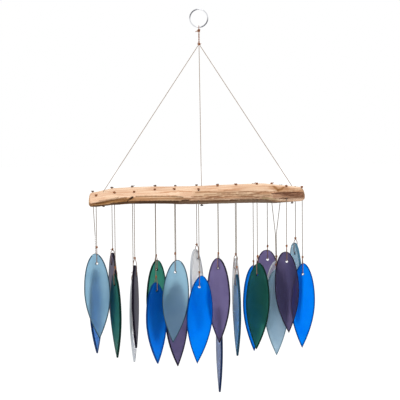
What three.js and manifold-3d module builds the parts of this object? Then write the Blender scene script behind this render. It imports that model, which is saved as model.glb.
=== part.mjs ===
// A driftwood wind chime: glass leaves on cords under a driftwood bar that hangs from a split ring.
// Millimetres, +Z up, X along the bar, -Y towards the viewer.
// The origin is the inside top of the split ring, where a hook holds the chime.
import * as THREE from "three";
import { mergeVertices } from "three/addons/utils/BufferGeometryUtils.js";
import Module from "manifold-3d";

const wasm = await Module();
wasm.setup();

// Clearances
const SEAT_GAP = 0.3; // between pieces that rest on each other
const HOLE_CLEARANCE = 0.35; // between a cord and the wall of its drilled hole

// Edges and slivers finer than this are merged away where shapes are joined or cut
const FINEST_DETAIL = 0.02;

// Split ring: two turns of round wire
const RING_DIAMETER = 25;
const RING_WIRE = 1.6;
const RING_TURN_GAP = 0.45;
const RING_TURNS = 2;
const RING_STEPS_PER_TURN = 24;
const RING_SIDES = 6;

// Cords and knots
const CORD = 1.0; // waxed cotton cord of the pendants and the hanging loop
const BRIDLE_CORD = 0.9; // thinner line from the hanger to the bar
const DOUBLED_CORD = 1.8; // the hanger's two cords twisted together
const CORD_SIDES = 6;
const THICK_CORD_SIDES = 8;
const BEND_SWELL = 1.05; // of a bent cord's radius, for the bead at its corner
const HANGER_KNOT_RADIUS = 2.2;
const UPPER_KNOT_BELOW_RING = 3.7; // from the outside of the ring to the knot's middle
const KNOT_TAIL_LENGTH = 5.2;
const KNOT_TAIL_DROP = 2.6;
const HANGER_CORD_LENGTH = 17.5; // between the middles of the upper and lower knots
const STOPPER_RADIUS = 1.9; // a knot that rests on the bar or holds under it
const STOPPER_HEIGHT = 2.6;
const LEAF_KNOT_RADIUS = 1.7;
const LEAF_KNOT_HEIGHT = 3.7;

// Driftwood bar, whose datum plane lies this far below the origin
const BAR_DROP = 241.8;
const BAR_OFFSET = -4.9; // of its middle from the ring's axis: it hangs a little to the left
const BAR_LENGTH = 282;
const BAR_DEPTH = 46.4;
const BAR_THICKNESS = 25;
const BAR_SQUARENESS = 2.6; // exponent of its section: 2 is an ellipse, more is squarer
const BAR_SIDES = 20;

// Its shape along the grain: the place is a share of the half length, the middle is a height in mm
// from the datum, depth and thickness are shares of the largest, and the slope lifts the back edge.
const BAR_STATIONS = [
  { place: -1.0, middle: -4.9, depth: 0.8, thickness: 0.45, slope: 0.15 },
  { place: -0.985, middle: -5.3, depth: 0.88, thickness: 0.55, slope: 0.17 },
  { place: -0.93, middle: -4.8, depth: 0.93, thickness: 0.6, slope: 0.17 },
  { place: -0.8, middle: -1.7, depth: 0.97, thickness: 0.64, slope: 0.2 },
  { place: -0.6, middle: -0.2, depth: 0.99, thickness: 0.6, slope: 0.22 },
  { place: -0.39, middle: 0.0, depth: 0.98, thickness: 0.68, slope: 0.19 },
  { place: -0.18, middle: -0.6, depth: 1.0, thickness: 0.83, slope: 0.08 },
  { place: 0.03, middle: -0.6, depth: 0.98, thickness: 0.92, slope: 0.02 },
  { place: 0.25, middle: 0.2, depth: 0.98, thickness: 0.97, slope: -0.04 },
  { place: 0.46, middle: 0.9, depth: 0.99, thickness: 0.98, slope: -0.1 },
  { place: 0.62, middle: 1.0, depth: 1.0, thickness: 0.97, slope: -0.16 },
  { place: 0.73, middle: -0.1, depth: 0.98, thickness: 0.91, slope: -0.17 },
  { place: 0.86, middle: -0.5, depth: 0.95, thickness: 0.8, slope: -0.15 },
  { place: 0.96, middle: -0.6, depth: 0.9, thickness: 0.72, slope: -0.11 },
  { place: 0.99, middle: -1.5, depth: 0.82, thickness: 0.56, slope: -0.06 },
  { place: 1.0, middle: -2.4, depth: 0.76, thickness: 0.35, slope: -0.04 },
];

// Bridle: three lines from the lower knot down through the bar, at these shares of its half length
const BRIDLE_PLACES = { left: -0.872, centre: 0.044, right: 0.889 };

// Glass leaves
const GLASS_THICKNESS = 3;
const LEAF_HOLE_DIAMETER = 3.4;
const LEAF_SHOULDER = 0.46; // share of the length where a leaf is widest
const LEAF_TAPER = 1.88; // exponent of the sides below the shoulder
const OUTLINE_STEPS = 6; // on each side, above the shoulder and again below it
const HOLE_SIDES = 8;
const BALANCE_STRIPS = 200; // for a leaf's centre of mass

// Rows of drilled holes, in front of and behind the bar's middle line
const ROW_OFFSET = 12.5;

const GLASS = {
  pale_blue: { color: "#7fa9c4", opacity: 0.75 },
  cobalt: { color: "#0a6be0", opacity: 0.85 },
  green: { color: "#2c7a68", opacity: 0.85 },
  purple: { color: "#65577f", opacity: 0.85 },
  clear: { color: "#d9dde0", opacity: 0.55 },
  periwinkle: { color: "#7f93bd", opacity: 0.8 },
};

// One pendant each: its cord and its leaf, from the left. Millimetres and degrees.
// place    share of the bar's half length where its hole is drilled
// stagger  how far the hole lies behind its row's line
// bend     of a cord that doesn't hang straight: how far its bend lies right of and behind its hole
// shift    how far its leaf hangs right of and behind the hole
// drop     from the bar's datum to the loop's lowest point, on which the leaf hangs
// inset    from the top of the leaf to its hole; knot: from the loop's lowest point up to the knot
// turn     how far the leaf faces away from the viewer; offset: its hole right of its middle line
// crown    exponent of the rounded top: 0.5 is an ellipse, less is blunter
const FRONT_ROW = [
  { place: -0.935, stagger: 0, drop: 87.4, length: 113, width: 34.5, inset: 13.3,
    knot: 20.5, turn: 0, offset: 1.5, crown: 0.5, glass: "pale_blue" },
  { place: -0.764, stagger: 0, drop: 116.1, length: 111, width: 33, inset: 15,
    knot: 22.4, turn: -65, offset: 2, crown: 0.56, glass: "green" },
  { place: -0.582, stagger: 0, drop: 104.4, length: 110, width: 33.5, inset: 14.5,
    knot: 22.5, turn: 80, offset: 1, crown: 0.56, glass: "purple" },
  { place: -0.388, stagger: 3.5, drop: 125, length: 108, width: 34, inset: 11.5,
    knot: 18, turn: 42, offset: 0.8, crown: 0.56, glass: "cobalt" },
  { place: -0.207, stagger: -1.5, drop: 99.6, length: 109.8, width: 35, inset: 16.2,
    knot: 23.6, turn: 0, offset: -2.4, crown: 0.5, glass: "pale_blue" },
  { place: 0.016, stagger: -7.5, drop: 118.9, length: 116.6, width: 34, inset: 15.3,
    knot: 18.4, turn: 4, offset: -2.5, crown: 0.54, glass: "cobalt" },
  { place: 0.194, stagger: -0.5, drop: 94.9, length: 112.5, width: 33.5, inset: 13.4,
    knot: 18.2, turn: -26, offset: 0.5, crown: 0.5, glass: "purple" },
  { place: 0.365, stagger: -1.5, drop: 117.5, length: 108.3, width: 34, inset: 14.5,
    knot: 22.8, turn: -77, offset: 0, crown: 0.56, glass: "pale_blue" },
  { place: 0.558, stagger: -3.5, drop: 103.9, length: 114.5, width: 34.5, inset: 15.8,
    knot: 23.3, turn: -30, offset: -1.5, crown: 0.54, glass: "green" },
  { place: 0.697, stagger: 4.5, bend: [4.85, 7.45], shift: [5.2, 4.6],
    drop: 113.9, length: 114, width: 32.5, inset: 15, knot: 20.5, turn: 0, offset: 0,
    crown: 0.56, glass: "pale_blue" },
  { place: 0.829, stagger: -5.5, drop: 86.7, length: 107.5, width: 31.8, inset: 13.1,
    knot: 19.4, turn: 4, offset: 1.4, crown: 0.42, glass: "purple" },
  { place: 0.979, stagger: 2.5, drop: 104.2, length: 112.2, width: 32.6, inset: 14.4,
    knot: 21.3, turn: 8, offset: -0.8, crown: 0.55, glass: "cobalt" },
];

const BACK_ROW = [
  { place: -0.975, stagger: 0, bend: [2.2, 0], shift: [2.2, 0],
    drop: 112.1, length: 112.9, width: 34, inset: 14.5, knot: 21, turn: 66, offset: 0.6,
    crown: 0.54, glass: "cobalt" },
  { place: -0.798, stagger: 0, drop: 91, length: 112.5, width: 33, inset: 15.2,
    knot: 18.6, turn: -70, offset: 0, crown: 0.46, glass: "purple" },
  { place: -0.606, stagger: 0, drop: 124.7, length: 112.5, width: 33.5, inset: 14.7,
    knot: 20.6, turn: 77, offset: 0, crown: 0.54, glass: "clear" },
  { place: -0.389, stagger: 0, drop: 98.9, length: 112.5, width: 33.5, inset: 13,
    knot: 17.8, turn: 40, offset: -1.2, crown: 0.54, glass: "green" },
  { place: -0.202, stagger: 4, drop: 130.9, length: 114.5, width: 34, inset: 15.6,
    knot: 20.5, turn: 31, offset: 0.6, crown: 0.56, glass: "purple" },
  { place: -0.004, stagger: -0.5, drop: 85.5, length: 112, width: 34, inset: 14.5,
    knot: 18.4, turn: 61, offset: 4.2, crown: 0.5, glass: "clear" },
  { place: 0.199, stagger: 0, drop: 164.6, length: 114.1, width: 33.5, inset: 14.5,
    knot: 20.5, turn: -79, offset: 0, crown: 0.56, glass: "periwinkle" },
  { place: 0.36, stagger: 1.5, drop: 99.5, length: 112.5, width: 34, inset: 14.6,
    knot: 18.6, turn: -77, offset: 0, crown: 0.5, glass: "clear" },
  { place: 0.527, stagger: -0.5, drop: 108.9, length: 115.5, width: 29.5, inset: 14.8,
    knot: 18.6, turn: -14, offset: 0, crown: 0.54, glass: "cobalt" },
  { place: 0.662, stagger: 6.5, drop: 87.8, length: 109, width: 34.5, inset: 13.1,
    knot: 17, turn: 0, offset: 1.1, crown: 0.42, glass: "purple" },
  { place: 0.779, stagger: -3.5, bend: [-5.65, -8.45], shift: [-5.3, -5.6],
    drop: 102.3, length: 111, width: 32, inset: 14.6, knot: 19, turn: 6, offset: 0,
    crown: 0.54, glass: "clear" },
  { place: 0.924, stagger: 0, drop: 79.5, length: 108.8, width: 33, inset: 14.6,
    knot: 19.3, turn: -65, offset: 2.4, crown: 0.46, glass: "pale_blue" },
];

// Below the bar's datum, where the bent cords turn down: two neighbours' cords cling together there
const BEND_DROP = 54;

const RADIANS = Math.PI / 180;

function solidOf(geometry) {
  const bare = geometry.clone();
  bare.deleteAttribute("normal");
  bare.deleteAttribute("uv");
  const merged = mergeVertices(bare, 1e-4);
  const triVerts = new Uint32Array(merged.index.array);
  const vertProperties = new Float32Array(merged.attributes.position.array);
  return new wasm.Manifold(new wasm.Mesh({ numProp: 3, vertProperties, triVerts }));
}

function geometryOf(solid) {
  const { vertProperties, triVerts } = solid.getMesh();
  const geometry = new THREE.BufferGeometry();
  geometry.setAttribute("position", new THREE.BufferAttribute(vertProperties, 3));
  geometry.setIndex(new THREE.BufferAttribute(triVerts, 1));
  geometry.computeVertexNormals();
  return geometry;
}

function joined(geometries) {
  const whole = geometries.map(solidOf).reduce((sum, piece) => sum.add(piece));
  return geometryOf(whole.simplify(FINEST_DETAIL));
}

// A straight stretch of cord, or a drill, from one point to another
function rod(from, to, radius, sides) {
  const along = new THREE.Vector3().subVectors(to, from);
  const geometry = new THREE.CylinderGeometry(radius, radius, along.length(), sides);
  const turn = new THREE.Quaternion();
  turn.setFromUnitVectors(new THREE.Vector3(0, 1, 0), along.clone().normalize());
  geometry.applyQuaternion(turn);
  const middle = new THREE.Vector3().addVectors(from, to).multiplyScalar(0.5);
  return geometry.translate(middle.x, middle.y, middle.z);
}

// A knot, as a faceted bead
function bead(at, radius, height = 2 * radius) {
  const geometry = new THREE.OctahedronGeometry(1, 1);
  geometry.scale(radius, radius, height / 2);
  return geometry.translate(at.x, at.y, at.z);
}

// A cord's route, whose tube has its rings on the route's own points
class Route extends THREE.CatmullRomCurve3 {
  getPointAt(u, target) {
    return this.getPoint(u, target);
  }
  getTangentAt(u, target) {
    return this.getTangent(u, target);
  }
}

function tube(curve, radius, steps, sides) {
  const corners = Array.from({ length: sides }, (_, i) => {
    const angle = (2 * Math.PI * i) / sides;
    return new THREE.Vector2(radius * Math.cos(angle), radius * Math.sin(angle));
  });
  const section = new THREE.Shape(corners);
  return new THREE.ExtrudeGeometry(section, { steps, bevelEnabled: false, extrudePath: curve });
}

function named(name, geometry, material) {
  const mesh = new THREE.Mesh(geometry, material);
  mesh.name = name;
  return mesh;
}

const steel = new THREE.MeshStandardMaterial({ color: "#b9bcc0", roughness: 0.3, metalness: 1 });
const wood = new THREE.MeshStandardMaterial({ color: "#d9a878", roughness: 0.8, metalness: 0 });
const cotton = new THREE.MeshStandardMaterial({ color: "#a58a78", roughness: 0.9, metalness: 0 });
const line = new THREE.MeshStandardMaterial({ color: "#c9beb2", roughness: 0.9, metalness: 0 });

// Split ring
const RING_CENTRE_RADIUS = (RING_DIAMETER - RING_WIRE) / 2;
const RING_CENTRE_Z = RING_WIRE - RING_DIAMETER / 2;
const RING_PITCH = RING_WIRE + RING_TURN_GAP;

class RingWire extends THREE.Curve {
  getPoint(t, target = new THREE.Vector3()) {
    const angle = 2 * Math.PI * RING_TURNS * t;
    return target.set(
      -RING_CENTRE_RADIUS * Math.sin(angle),
      RING_PITCH * (t - 0.5) * RING_TURNS,
      RING_CENTRE_Z + RING_CENTRE_RADIUS * Math.cos(angle),
    );
  }
}

function splitRing() {
  const wire = new RingWire();
  const steps = RING_TURNS * RING_STEPS_PER_TURN;
  const points = wire.getSpacedPoints(steps);
  let gap = Infinity;
  points.forEach((p, i) => {
    points.slice(i + RING_STEPS_PER_TURN / 2).forEach((q) => {
      gap = Math.min(gap, p.distanceTo(q) - RING_WIRE);
    });
  });
  console.log("split ring: least gap between its turns " + gap.toFixed(2) + " mm");
  return named("split_ring", tube(wire, RING_WIRE / 2, steps, RING_SIDES), steel);
}

// Hanger: a loop round the ring's wire with its knot, then a doubled cord down to the lower knot
const RING_BOTTOM_Z = RING_WIRE - RING_DIAMETER;
const UPPER_KNOT_Z = RING_BOTTOM_Z - UPPER_KNOT_BELOW_RING;
const LOWER_KNOT_Z = UPPER_KNOT_Z - HANGER_CORD_LENGTH;

function hangingLoop() {
  const side = RING_PITCH * (RING_TURNS / 2 - 0.5) + RING_WIRE / 2 + SEAT_GAP + CORD / 2;
  const top = RING_BOTTOM_Z + RING_WIRE + SEAT_GAP + CORD / 2;
  // From inside the knot up one side of the ring's wire: shares of the side, and heights
  const half = [
    [0, UPPER_KNOT_Z + HANGER_KNOT_RADIUS / 4],
    [0.6, UPPER_KNOT_Z + HANGER_KNOT_RADIUS * 0.9],
    [1, RING_BOTTOM_Z - SEAT_GAP],
    [1, top - CORD],
    [0.66, top],
    [0, top + SEAT_GAP / 2],
  ];
  const back = half.slice(0, -1).reverse().map(([share, z]) => [-share, z]);
  const points = [...half, ...back].map(([share, z]) => new THREE.Vector3(0, -share * side, z));
  const loop = tube(new Route(points), CORD / 2, points.length - 1, CORD_SIDES);
  const knot = new THREE.Vector3(0, 0, UPPER_KNOT_Z);
  const tailEnd = new THREE.Vector3(-KNOT_TAIL_LENGTH, 0, UPPER_KNOT_Z - KNOT_TAIL_DROP);
  const tail = rod(knot, tailEnd, CORD / 2, CORD_SIDES);
  return named("hanging_loop", joined([loop, bead(knot, HANGER_KNOT_RADIUS), tail]), cotton);
}

function hangingCord() {
  const top = new THREE.Vector3(0, 0, UPPER_KNOT_Z - HANGER_KNOT_RADIUS - SEAT_GAP);
  const knot = new THREE.Vector3(0, 0, LOWER_KNOT_Z);
  const doubled = rod(top, knot, DOUBLED_CORD / 2, THICK_CORD_SIDES);
  return named("hanging_cord", joined([doubled, bead(knot, HANGER_KNOT_RADIUS)]), cotton);
}

// Driftwood bar
function alongBar(place) {
  return BAR_OFFSET + (place * BAR_LENGTH) / 2;
}

function barSection(x) {
  const place = THREE.MathUtils.clamp((2 * (x - BAR_OFFSET)) / BAR_LENGTH, -1, 1);
  const after = Math.max(1, BAR_STATIONS.findIndex((s) => s.place >= place));
  const [a, b] = [BAR_STATIONS[after - 1], BAR_STATIONS[after]];
  const share = (place - a.place) / (b.place - a.place);
  const between = (key) => THREE.MathUtils.lerp(a[key], b[key], share);
  return {
    middle: between("middle") - BAR_DROP,
    depth: (between("depth") * BAR_DEPTH) / 2,
    thickness: (between("thickness") * BAR_THICKNESS) / 2,
    slope: between("slope"),
  };
}

// Height of the bar's upper (side 1) or lower (side -1) surface above a point
function barSurface(x, y, side) {
  const s = barSection(x);
  const across = Math.min(1, Math.abs(y) / s.depth) ** BAR_SQUARENESS;
  return s.middle + s.slope * y + side * s.thickness * (1 - across) ** (1 / BAR_SQUARENESS);
}

function barBlank() {
  const positions = [];
  const index = [];
  for (const { place } of BAR_STATIONS) {
    const x = alongBar(place);
    const s = barSection(x);
    for (let i = 0; i < BAR_SIDES; i++) {
      const angle = (2 * Math.PI * (i + 0.5)) / BAR_SIDES;
      const [c, n] = [Math.cos(angle), Math.sin(angle)];
      const y = s.depth * Math.sign(c) * Math.abs(c) ** (2 / BAR_SQUARENESS);
      const rise = s.thickness * Math.sign(n) * Math.abs(n) ** (2 / BAR_SQUARENESS);
      positions.push(x, y, s.middle + s.slope * y + rise);
    }
  }
  for (let k = 0; k + 1 < BAR_STATIONS.length; k++) {
    for (let i = 0; i < BAR_SIDES; i++) {
      const [p, q] = [k * BAR_SIDES + i, k * BAR_SIDES + ((i + 1) % BAR_SIDES)];
      index.push(p, q, p + BAR_SIDES, q, q + BAR_SIDES, p + BAR_SIDES);
    }
  }
  const last = (BAR_STATIONS.length - 1) * BAR_SIDES;
  for (let i = 1; i + 1 < BAR_SIDES; i++) {
    index.push(0, i + 1, i);
    index.push(last, last + i, last + i + 1);
  }
  const geometry = new THREE.BufferGeometry();
  geometry.setAttribute("position", new THREE.Float32BufferAttribute(positions, 3));
  return geometry.setIndex(index);
}

function drill(x, y, cord) {
  const above = new THREE.Vector3(x, y, BAR_THICKNESS - BAR_DROP);
  const below = new THREE.Vector3(x, y, -BAR_THICKNESS - BAR_DROP);
  return rod(above, below, cord / 2 + HOLE_CLEARANCE, HOLE_SIDES);
}

function driftwoodBar(pendants) {
  let bar = solidOf(barBlank());
  for (const p of pendants) bar = bar.subtract(solidOf(drill(p.x, p.y, CORD)));
  for (const place of Object.values(BRIDLE_PLACES)) {
    bar = bar.subtract(solidOf(drill(alongBar(place), 0, BRIDLE_CORD)));
  }
  return named("driftwood_bar", geometryOf(bar.simplify(FINEST_DETAIL)), wood);
}

// A stopper knot's middle, seated on the bar's upper (side 1) or lower (side -1) surface
function stopperZ(x, y, side) {
  const rise = (dx, dy) => barSurface(x + dx, y + dy, side) - barSurface(x - dx, y - dy, side);
  const slope = Math.hypot(rise(STOPPER_RADIUS, 0), rise(0, STOPPER_RADIUS)) / (2 * STOPPER_RADIUS);
  const lean = Math.hypot(1, slope);
  const reach = Math.hypot(STOPPER_HEIGHT / 2, slope * STOPPER_RADIUS);
  return barSurface(x, y, side) + side * (reach + SEAT_GAP * lean);
}

// Bridle: each line runs from the lower knot to its hole, through the bar and into a knot under it
function bridleLine(side) {
  const x = alongBar(BRIDLE_PLACES[side]);
  const apex = new THREE.Vector3(0, 0, LOWER_KNOT_Z);
  const mouth = new THREE.Vector3(x, 0, barSurface(x, 0, 1) + BRIDLE_CORD);
  const knot = new THREE.Vector3(x, 0, stopperZ(x, 0, -1));
  const down = new THREE.Vector3().subVectors(mouth, apex).normalize();
  const top = down.multiplyScalar(HANGER_KNOT_RADIUS + SEAT_GAP).add(apex);
  const radius = BRIDLE_CORD / 2;
  const pieces = [
    rod(top, mouth, radius, CORD_SIDES),
    bead(mouth, radius * BEND_SWELL),
    rod(mouth, knot, radius, CORD_SIDES),
    bead(knot, STOPPER_RADIUS, STOPPER_HEIGHT),
  ];
  return named("bridle_cord_" + side, joined(pieces), line);
}

// Leaf: a pointed oval, in its own plane, with its top at the origin
function leafHalfWidth(leaf, s) {
  if (s < LEAF_SHOULDER) {
    const t = 1 - s / LEAF_SHOULDER;
    return (leaf.width / 2) * (1 - t * t) ** leaf.crown;
  }
  const u = (s - LEAF_SHOULDER) / (1 - LEAF_SHOULDER);
  return (leaf.width / 2) * (1 - u ** LEAF_TAPER);
}

function leafOutline(leaf) {
  const shares = [];
  for (let i = 1; i <= OUTLINE_STEPS; i++) {
    const angle = ((Math.PI / 2) * i) / OUTLINE_STEPS;
    shares.push(LEAF_SHOULDER * (1 - Math.cos(angle)));
  }
  for (let i = 1; i < OUTLINE_STEPS; i++) {
    shares.push(LEAF_SHOULDER + ((1 - LEAF_SHOULDER) * i) / OUTLINE_STEPS);
  }
  const side = (sign) =>
    shares.map((s) => new THREE.Vector2(sign * leafHalfWidth(leaf, s), -s * leaf.length));
  const tip = new THREE.Vector2(0, -leaf.length);
  return [new THREE.Vector2(0, 0), ...side(-1), tip, ...side(1).reverse()];
}

// Depth of a leaf's centre of mass below its top, from strips across it
function leafBalance(leaf) {
  let area = 0;
  let moment = 0;
  for (let i = 0; i < BALANCE_STRIPS; i++) {
    const s = (i + 0.5) / BALANCE_STRIPS;
    area += leafHalfWidth(leaf, s);
    moment += leafHalfWidth(leaf, s) * s * leaf.length;
  }
  return moment / area;
}

// The cord rests against the top of the hole, so the leaf hangs from a point above the hole's middle
const HANG_ABOVE_HOLE = LEAF_HOLE_DIAMETER / 2 - CORD / 2 - SEAT_GAP;

function leafLean(leaf) {
  const below = leafBalance(leaf) - leaf.inset + HANG_ABOVE_HOLE;
  return Math.atan2(leaf.offset, below);
}

function glassLeaf(leaf) {
  const shape = new THREE.Shape(leafOutline(leaf));
  const radius = LEAF_HOLE_DIAMETER / 2 / Math.cos(Math.PI / HOLE_SIDES);
  const hole = Array.from({ length: HOLE_SIDES }, (_, i) => {
    const angle = (2 * Math.PI * (i + 0.5)) / HOLE_SIDES;
    const across = leaf.offset + radius * Math.cos(angle);
    return new THREE.Vector2(across, radius * Math.sin(angle) - leaf.inset);
  });
  shape.holes.push(new THREE.Path(hole));
  const plate = new THREE.ExtrudeGeometry(shape, { depth: GLASS_THICKNESS, bevelEnabled: false });
  plate.translate(-leaf.offset, leaf.inset - HANG_ABOVE_HOLE, -GLASS_THICKNESS / 2);
  plate.rotateX(Math.PI / 2);
  const { color, opacity } = GLASS[leaf.glass];
  const glass = new THREE.MeshStandardMaterial({ color, opacity, roughness: 0.45, metalness: 0 });
  glass.transparent = true;
  const mesh = named("leaf_" + leaf.name, plate, glass);
  mesh.rotation.set(0, -leafLean(leaf), leaf.turn * RADIANS, "ZYX");
  mesh.position.copy(leaf.hang);
  return mesh;
}

// The loop that holds a leaf: down one face, through the hole and up the other, seen edge on
function leafLoop(leaf) {
  const face = GLASS_THICKNESS / 2 + SEAT_GAP + CORD / 2;
  const rim = SEAT_GAP + CORD / 2;
  const top = leaf.inset - HANG_ABOVE_HOLE;
  // From inside the knot down to the hole's middle: out from the glass's middle plane, and up. The
  // last four points round the corner under the hole's rim, by shares of the cord's thickness.
  const half = [
    [0, leaf.knot - LEAF_KNOT_RADIUS / 3],
    [face, Math.min(top + SEAT_GAP, leaf.knot - LEAF_KNOT_RADIUS)],
    [face, rim + 0.4 * CORD],
    [face - 0.1 * CORD, rim - 0.5 * CORD],
    [face - 0.6 * CORD, rim - 0.9 * CORD],
    [0, rim - 0.9 * CORD],
  ];
  const back = half.slice(0, -1).reverse().map(([y, z]) => [-y, z]);
  const points = [...half, ...back].map(([y, z]) => new THREE.Vector3(0, -y, z));
  return tube(new Route(points), CORD / 2, points.length - 1, CORD_SIDES)
    .rotateZ(leaf.turn * RADIANS)
    .translate(leaf.hang.x, leaf.hang.y, leaf.hang.z);
}

function pendantCord(leaf) {
  const stopper = new THREE.Vector3(leaf.x, leaf.y, stopperZ(leaf.x, leaf.y, 1));
  const knot = leaf.hang.clone().setZ(leaf.hang.z + leaf.knot);
  const stops = [stopper, knot];
  if (leaf.bend) {
    const [right, behind] = leaf.bend;
    const mouth = new THREE.Vector3(leaf.x, leaf.y, barSurface(leaf.x, leaf.y, -1) - CORD);
    const bend = new THREE.Vector3(leaf.x + right, leaf.y + behind, -BAR_DROP - BEND_DROP);
    stops.splice(1, 0, mouth, bend);
  }
  const pieces = [bead(stopper, STOPPER_RADIUS, STOPPER_HEIGHT), leafLoop(leaf)];
  stops.slice(1).forEach((stop, i) => {
    pieces.push(rod(stops[i], stop, CORD / 2, CORD_SIDES));
    if (stop !== knot) pieces.push(bead(stop, (CORD / 2) * BEND_SWELL));
  });
  pieces.push(bead(knot, LEAF_KNOT_RADIUS, LEAF_KNOT_HEIGHT));
  return named("cord_" + leaf.name, joined(pieces), cotton);
}

function placed(row, label, side) {
  return row.map((leaf, i) => {
    const x = alongBar(leaf.place);
    const y = side * ROW_OFFSET + leaf.stagger;
    const [right, behind] = leaf.shift ?? [0, 0];
    const hang = new THREE.Vector3(x + right, y + behind, -BAR_DROP - leaf.drop);
    return { ...leaf, name: label + "_" + (i + 1), x, y, hang };
  });
}

const pendants = [...placed(FRONT_ROW, "front", -1), ...placed(BACK_ROW, "back", 1)];

const chime = new THREE.Group();
chime.add(splitRing(), hangingLoop(), hangingCord());
chime.add(...Object.keys(BRIDLE_PLACES).map(bridleLine));
chime.add(driftwoodBar(pendants));
for (const pendant of pendants) chime.add(pendantCord(pendant), glassLeaf(pendant));

export default chime;
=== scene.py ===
# %% [markdown]
# # A driftwood wind chime, dressed for its picture
# The measured model of the chime is loaded first, as a frame that never moves. Every piece made
# below is a detailed stand-in for one of its parts: it sits where that part is, and all but the
# pendants' strands move with it.
# Sizes are written in millimetres, as they would be on a maker's drawing, and MM turns them into
# Blender's metres.

# %% Load the frame
import math
import random

import bmesh
import bpy
from mathutils import Matrix, Quaternion, Vector, noise


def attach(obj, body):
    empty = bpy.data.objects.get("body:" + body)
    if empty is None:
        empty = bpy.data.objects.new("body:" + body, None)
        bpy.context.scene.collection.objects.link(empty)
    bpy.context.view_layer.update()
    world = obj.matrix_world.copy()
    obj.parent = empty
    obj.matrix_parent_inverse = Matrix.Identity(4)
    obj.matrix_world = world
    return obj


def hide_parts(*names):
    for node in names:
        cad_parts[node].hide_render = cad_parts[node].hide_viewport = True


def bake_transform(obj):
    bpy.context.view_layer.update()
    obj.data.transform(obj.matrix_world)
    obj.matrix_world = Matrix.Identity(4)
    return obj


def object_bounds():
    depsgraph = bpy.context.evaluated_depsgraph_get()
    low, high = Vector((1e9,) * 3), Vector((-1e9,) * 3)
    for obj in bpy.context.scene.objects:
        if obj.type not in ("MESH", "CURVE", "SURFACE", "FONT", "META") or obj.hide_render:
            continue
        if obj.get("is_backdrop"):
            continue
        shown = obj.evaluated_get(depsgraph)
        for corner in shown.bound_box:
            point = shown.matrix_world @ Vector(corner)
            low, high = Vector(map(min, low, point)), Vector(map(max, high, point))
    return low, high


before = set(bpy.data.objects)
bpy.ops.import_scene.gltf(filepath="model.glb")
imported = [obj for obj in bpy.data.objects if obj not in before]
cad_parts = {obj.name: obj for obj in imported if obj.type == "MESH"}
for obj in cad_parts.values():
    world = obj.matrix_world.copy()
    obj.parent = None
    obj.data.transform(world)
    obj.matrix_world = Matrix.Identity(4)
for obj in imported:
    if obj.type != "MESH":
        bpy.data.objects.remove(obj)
cad_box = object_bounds()
MM = 0.001

# %% [markdown]
# ## The camera
# The picture was taken from a little above the middle of the chime and a long way off, so the two
# rows of leaves almost line up. A long lens from 2.2 metres gives the same flat look. The camera
# was held half a degree askew, which shows in the cords: they lean a little to the right.

# %% Set up the camera
CAMERA_TARGET = Vector((-0.73, 0, -248.9)) * MM
CAMERA_DISTANCE = 2200 * MM
CAMERA_ELEVATION = math.radians(4)
CAMERA_LENS = 150.45  # mm, in front of a sensor that is 36 mm wide
CAMERA_ROLL = math.radians(-0.57)


def put_in_scene(name, data):
    """An object that shows the data, linked to the scene."""
    piece = bpy.data.objects.new(name, data)
    bpy.context.scene.collection.objects.link(piece)
    return piece


back = Vector((0, -math.cos(CAMERA_ELEVATION), math.sin(CAMERA_ELEVATION)))
camera = put_in_scene("camera", bpy.data.cameras.new("camera"))
camera.data.lens = CAMERA_LENS
camera.location = CAMERA_TARGET + back * CAMERA_DISTANCE
camera.rotation_mode = "QUATERNION"
camera.rotation_quaternion = (-back).to_track_quat("-Z", "Y") @ Quaternion((0, 0, 1), CAMERA_ROLL)
bpy.context.scene.camera = camera
bpy.context.scene.view_settings.view_transform = "Standard"
print("the camera is at", [round(v, 3) for v in camera.location])

# %% [markdown]
# ## A tool for materials
# A material in Blender is a small network of nodes. One helper adds a node, sets its values and
# joins its sockets, so that each recipe below reads from top to bottom. Colours are written as
# they look on a screen, in hex, and are turned into the linear numbers that light is mixed in.

# %% Helpers for colours and nodes
def colour(hex_code):
    """The linear colour of an sRGB hex code."""
    shares = [int(hex_code[i : i + 2], 16) / 255 for i in (1, 3, 5)]
    linear = [v / 12.92 if v <= 0.04045 else ((v + 0.055) / 1.055) ** 2.4 for v in shares]
    return (*linear, 1)


def add(tree, kind, inputs, **settings):
    """Adds a node. Each input is a value for its socket, or another node's output to link."""
    node = tree.nodes.new("ShaderNode" + kind)
    for name, value in settings.items():
        setattr(node, name, value)
    for socket, value in inputs.items():
        if isinstance(value, bpy.types.NodeSocket):
            tree.links.new(value, node.inputs[socket])
        else:
            node.inputs[socket].default_value = value
    return node


def new_material(name):
    """An empty material, and the tree that its nodes go in."""
    material = bpy.data.materials.new(name)
    material.use_nodes = True
    material.node_tree.nodes.clear()
    return material, material.node_tree


print("mid grey #808080 is", round(colour("#808080")[0], 3), "in linear light")

# %% [markdown]
# ## The white room
# The chime hangs in front of plain white. The world is white where the camera, a reflection or a
# look through glass meets it, and a bit dimmer as a lamp, so that colours come out as they are
# written. Is Camera Ray, Is Glossy Ray and Is Transmission Ray tell these kinds of light apart.

# %% Make the world
AMBIENT = 0.62  # strength of the room's light on the object; 1 is plain white

world = bpy.data.worlds.new("white_room")
bpy.context.scene.world = world
world.use_nodes = True
tree = world.node_tree
tree.nodes.clear()


def seen_directly(tree):
    """1 for rays that look at the background, through glass and in reflections too."""
    rays = add(tree, "LightPath", {}).outputs
    mirrored = add(tree, "Math", {0: rays["Is Camera Ray"], 1: rays["Is Glossy Ray"]}, operation="MAXIMUM")
    either = {0: mirrored.outputs[0], 1: rays["Is Transmission Ray"]}
    return add(tree, "Math", either, operation="MAXIMUM").outputs[0]


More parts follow.
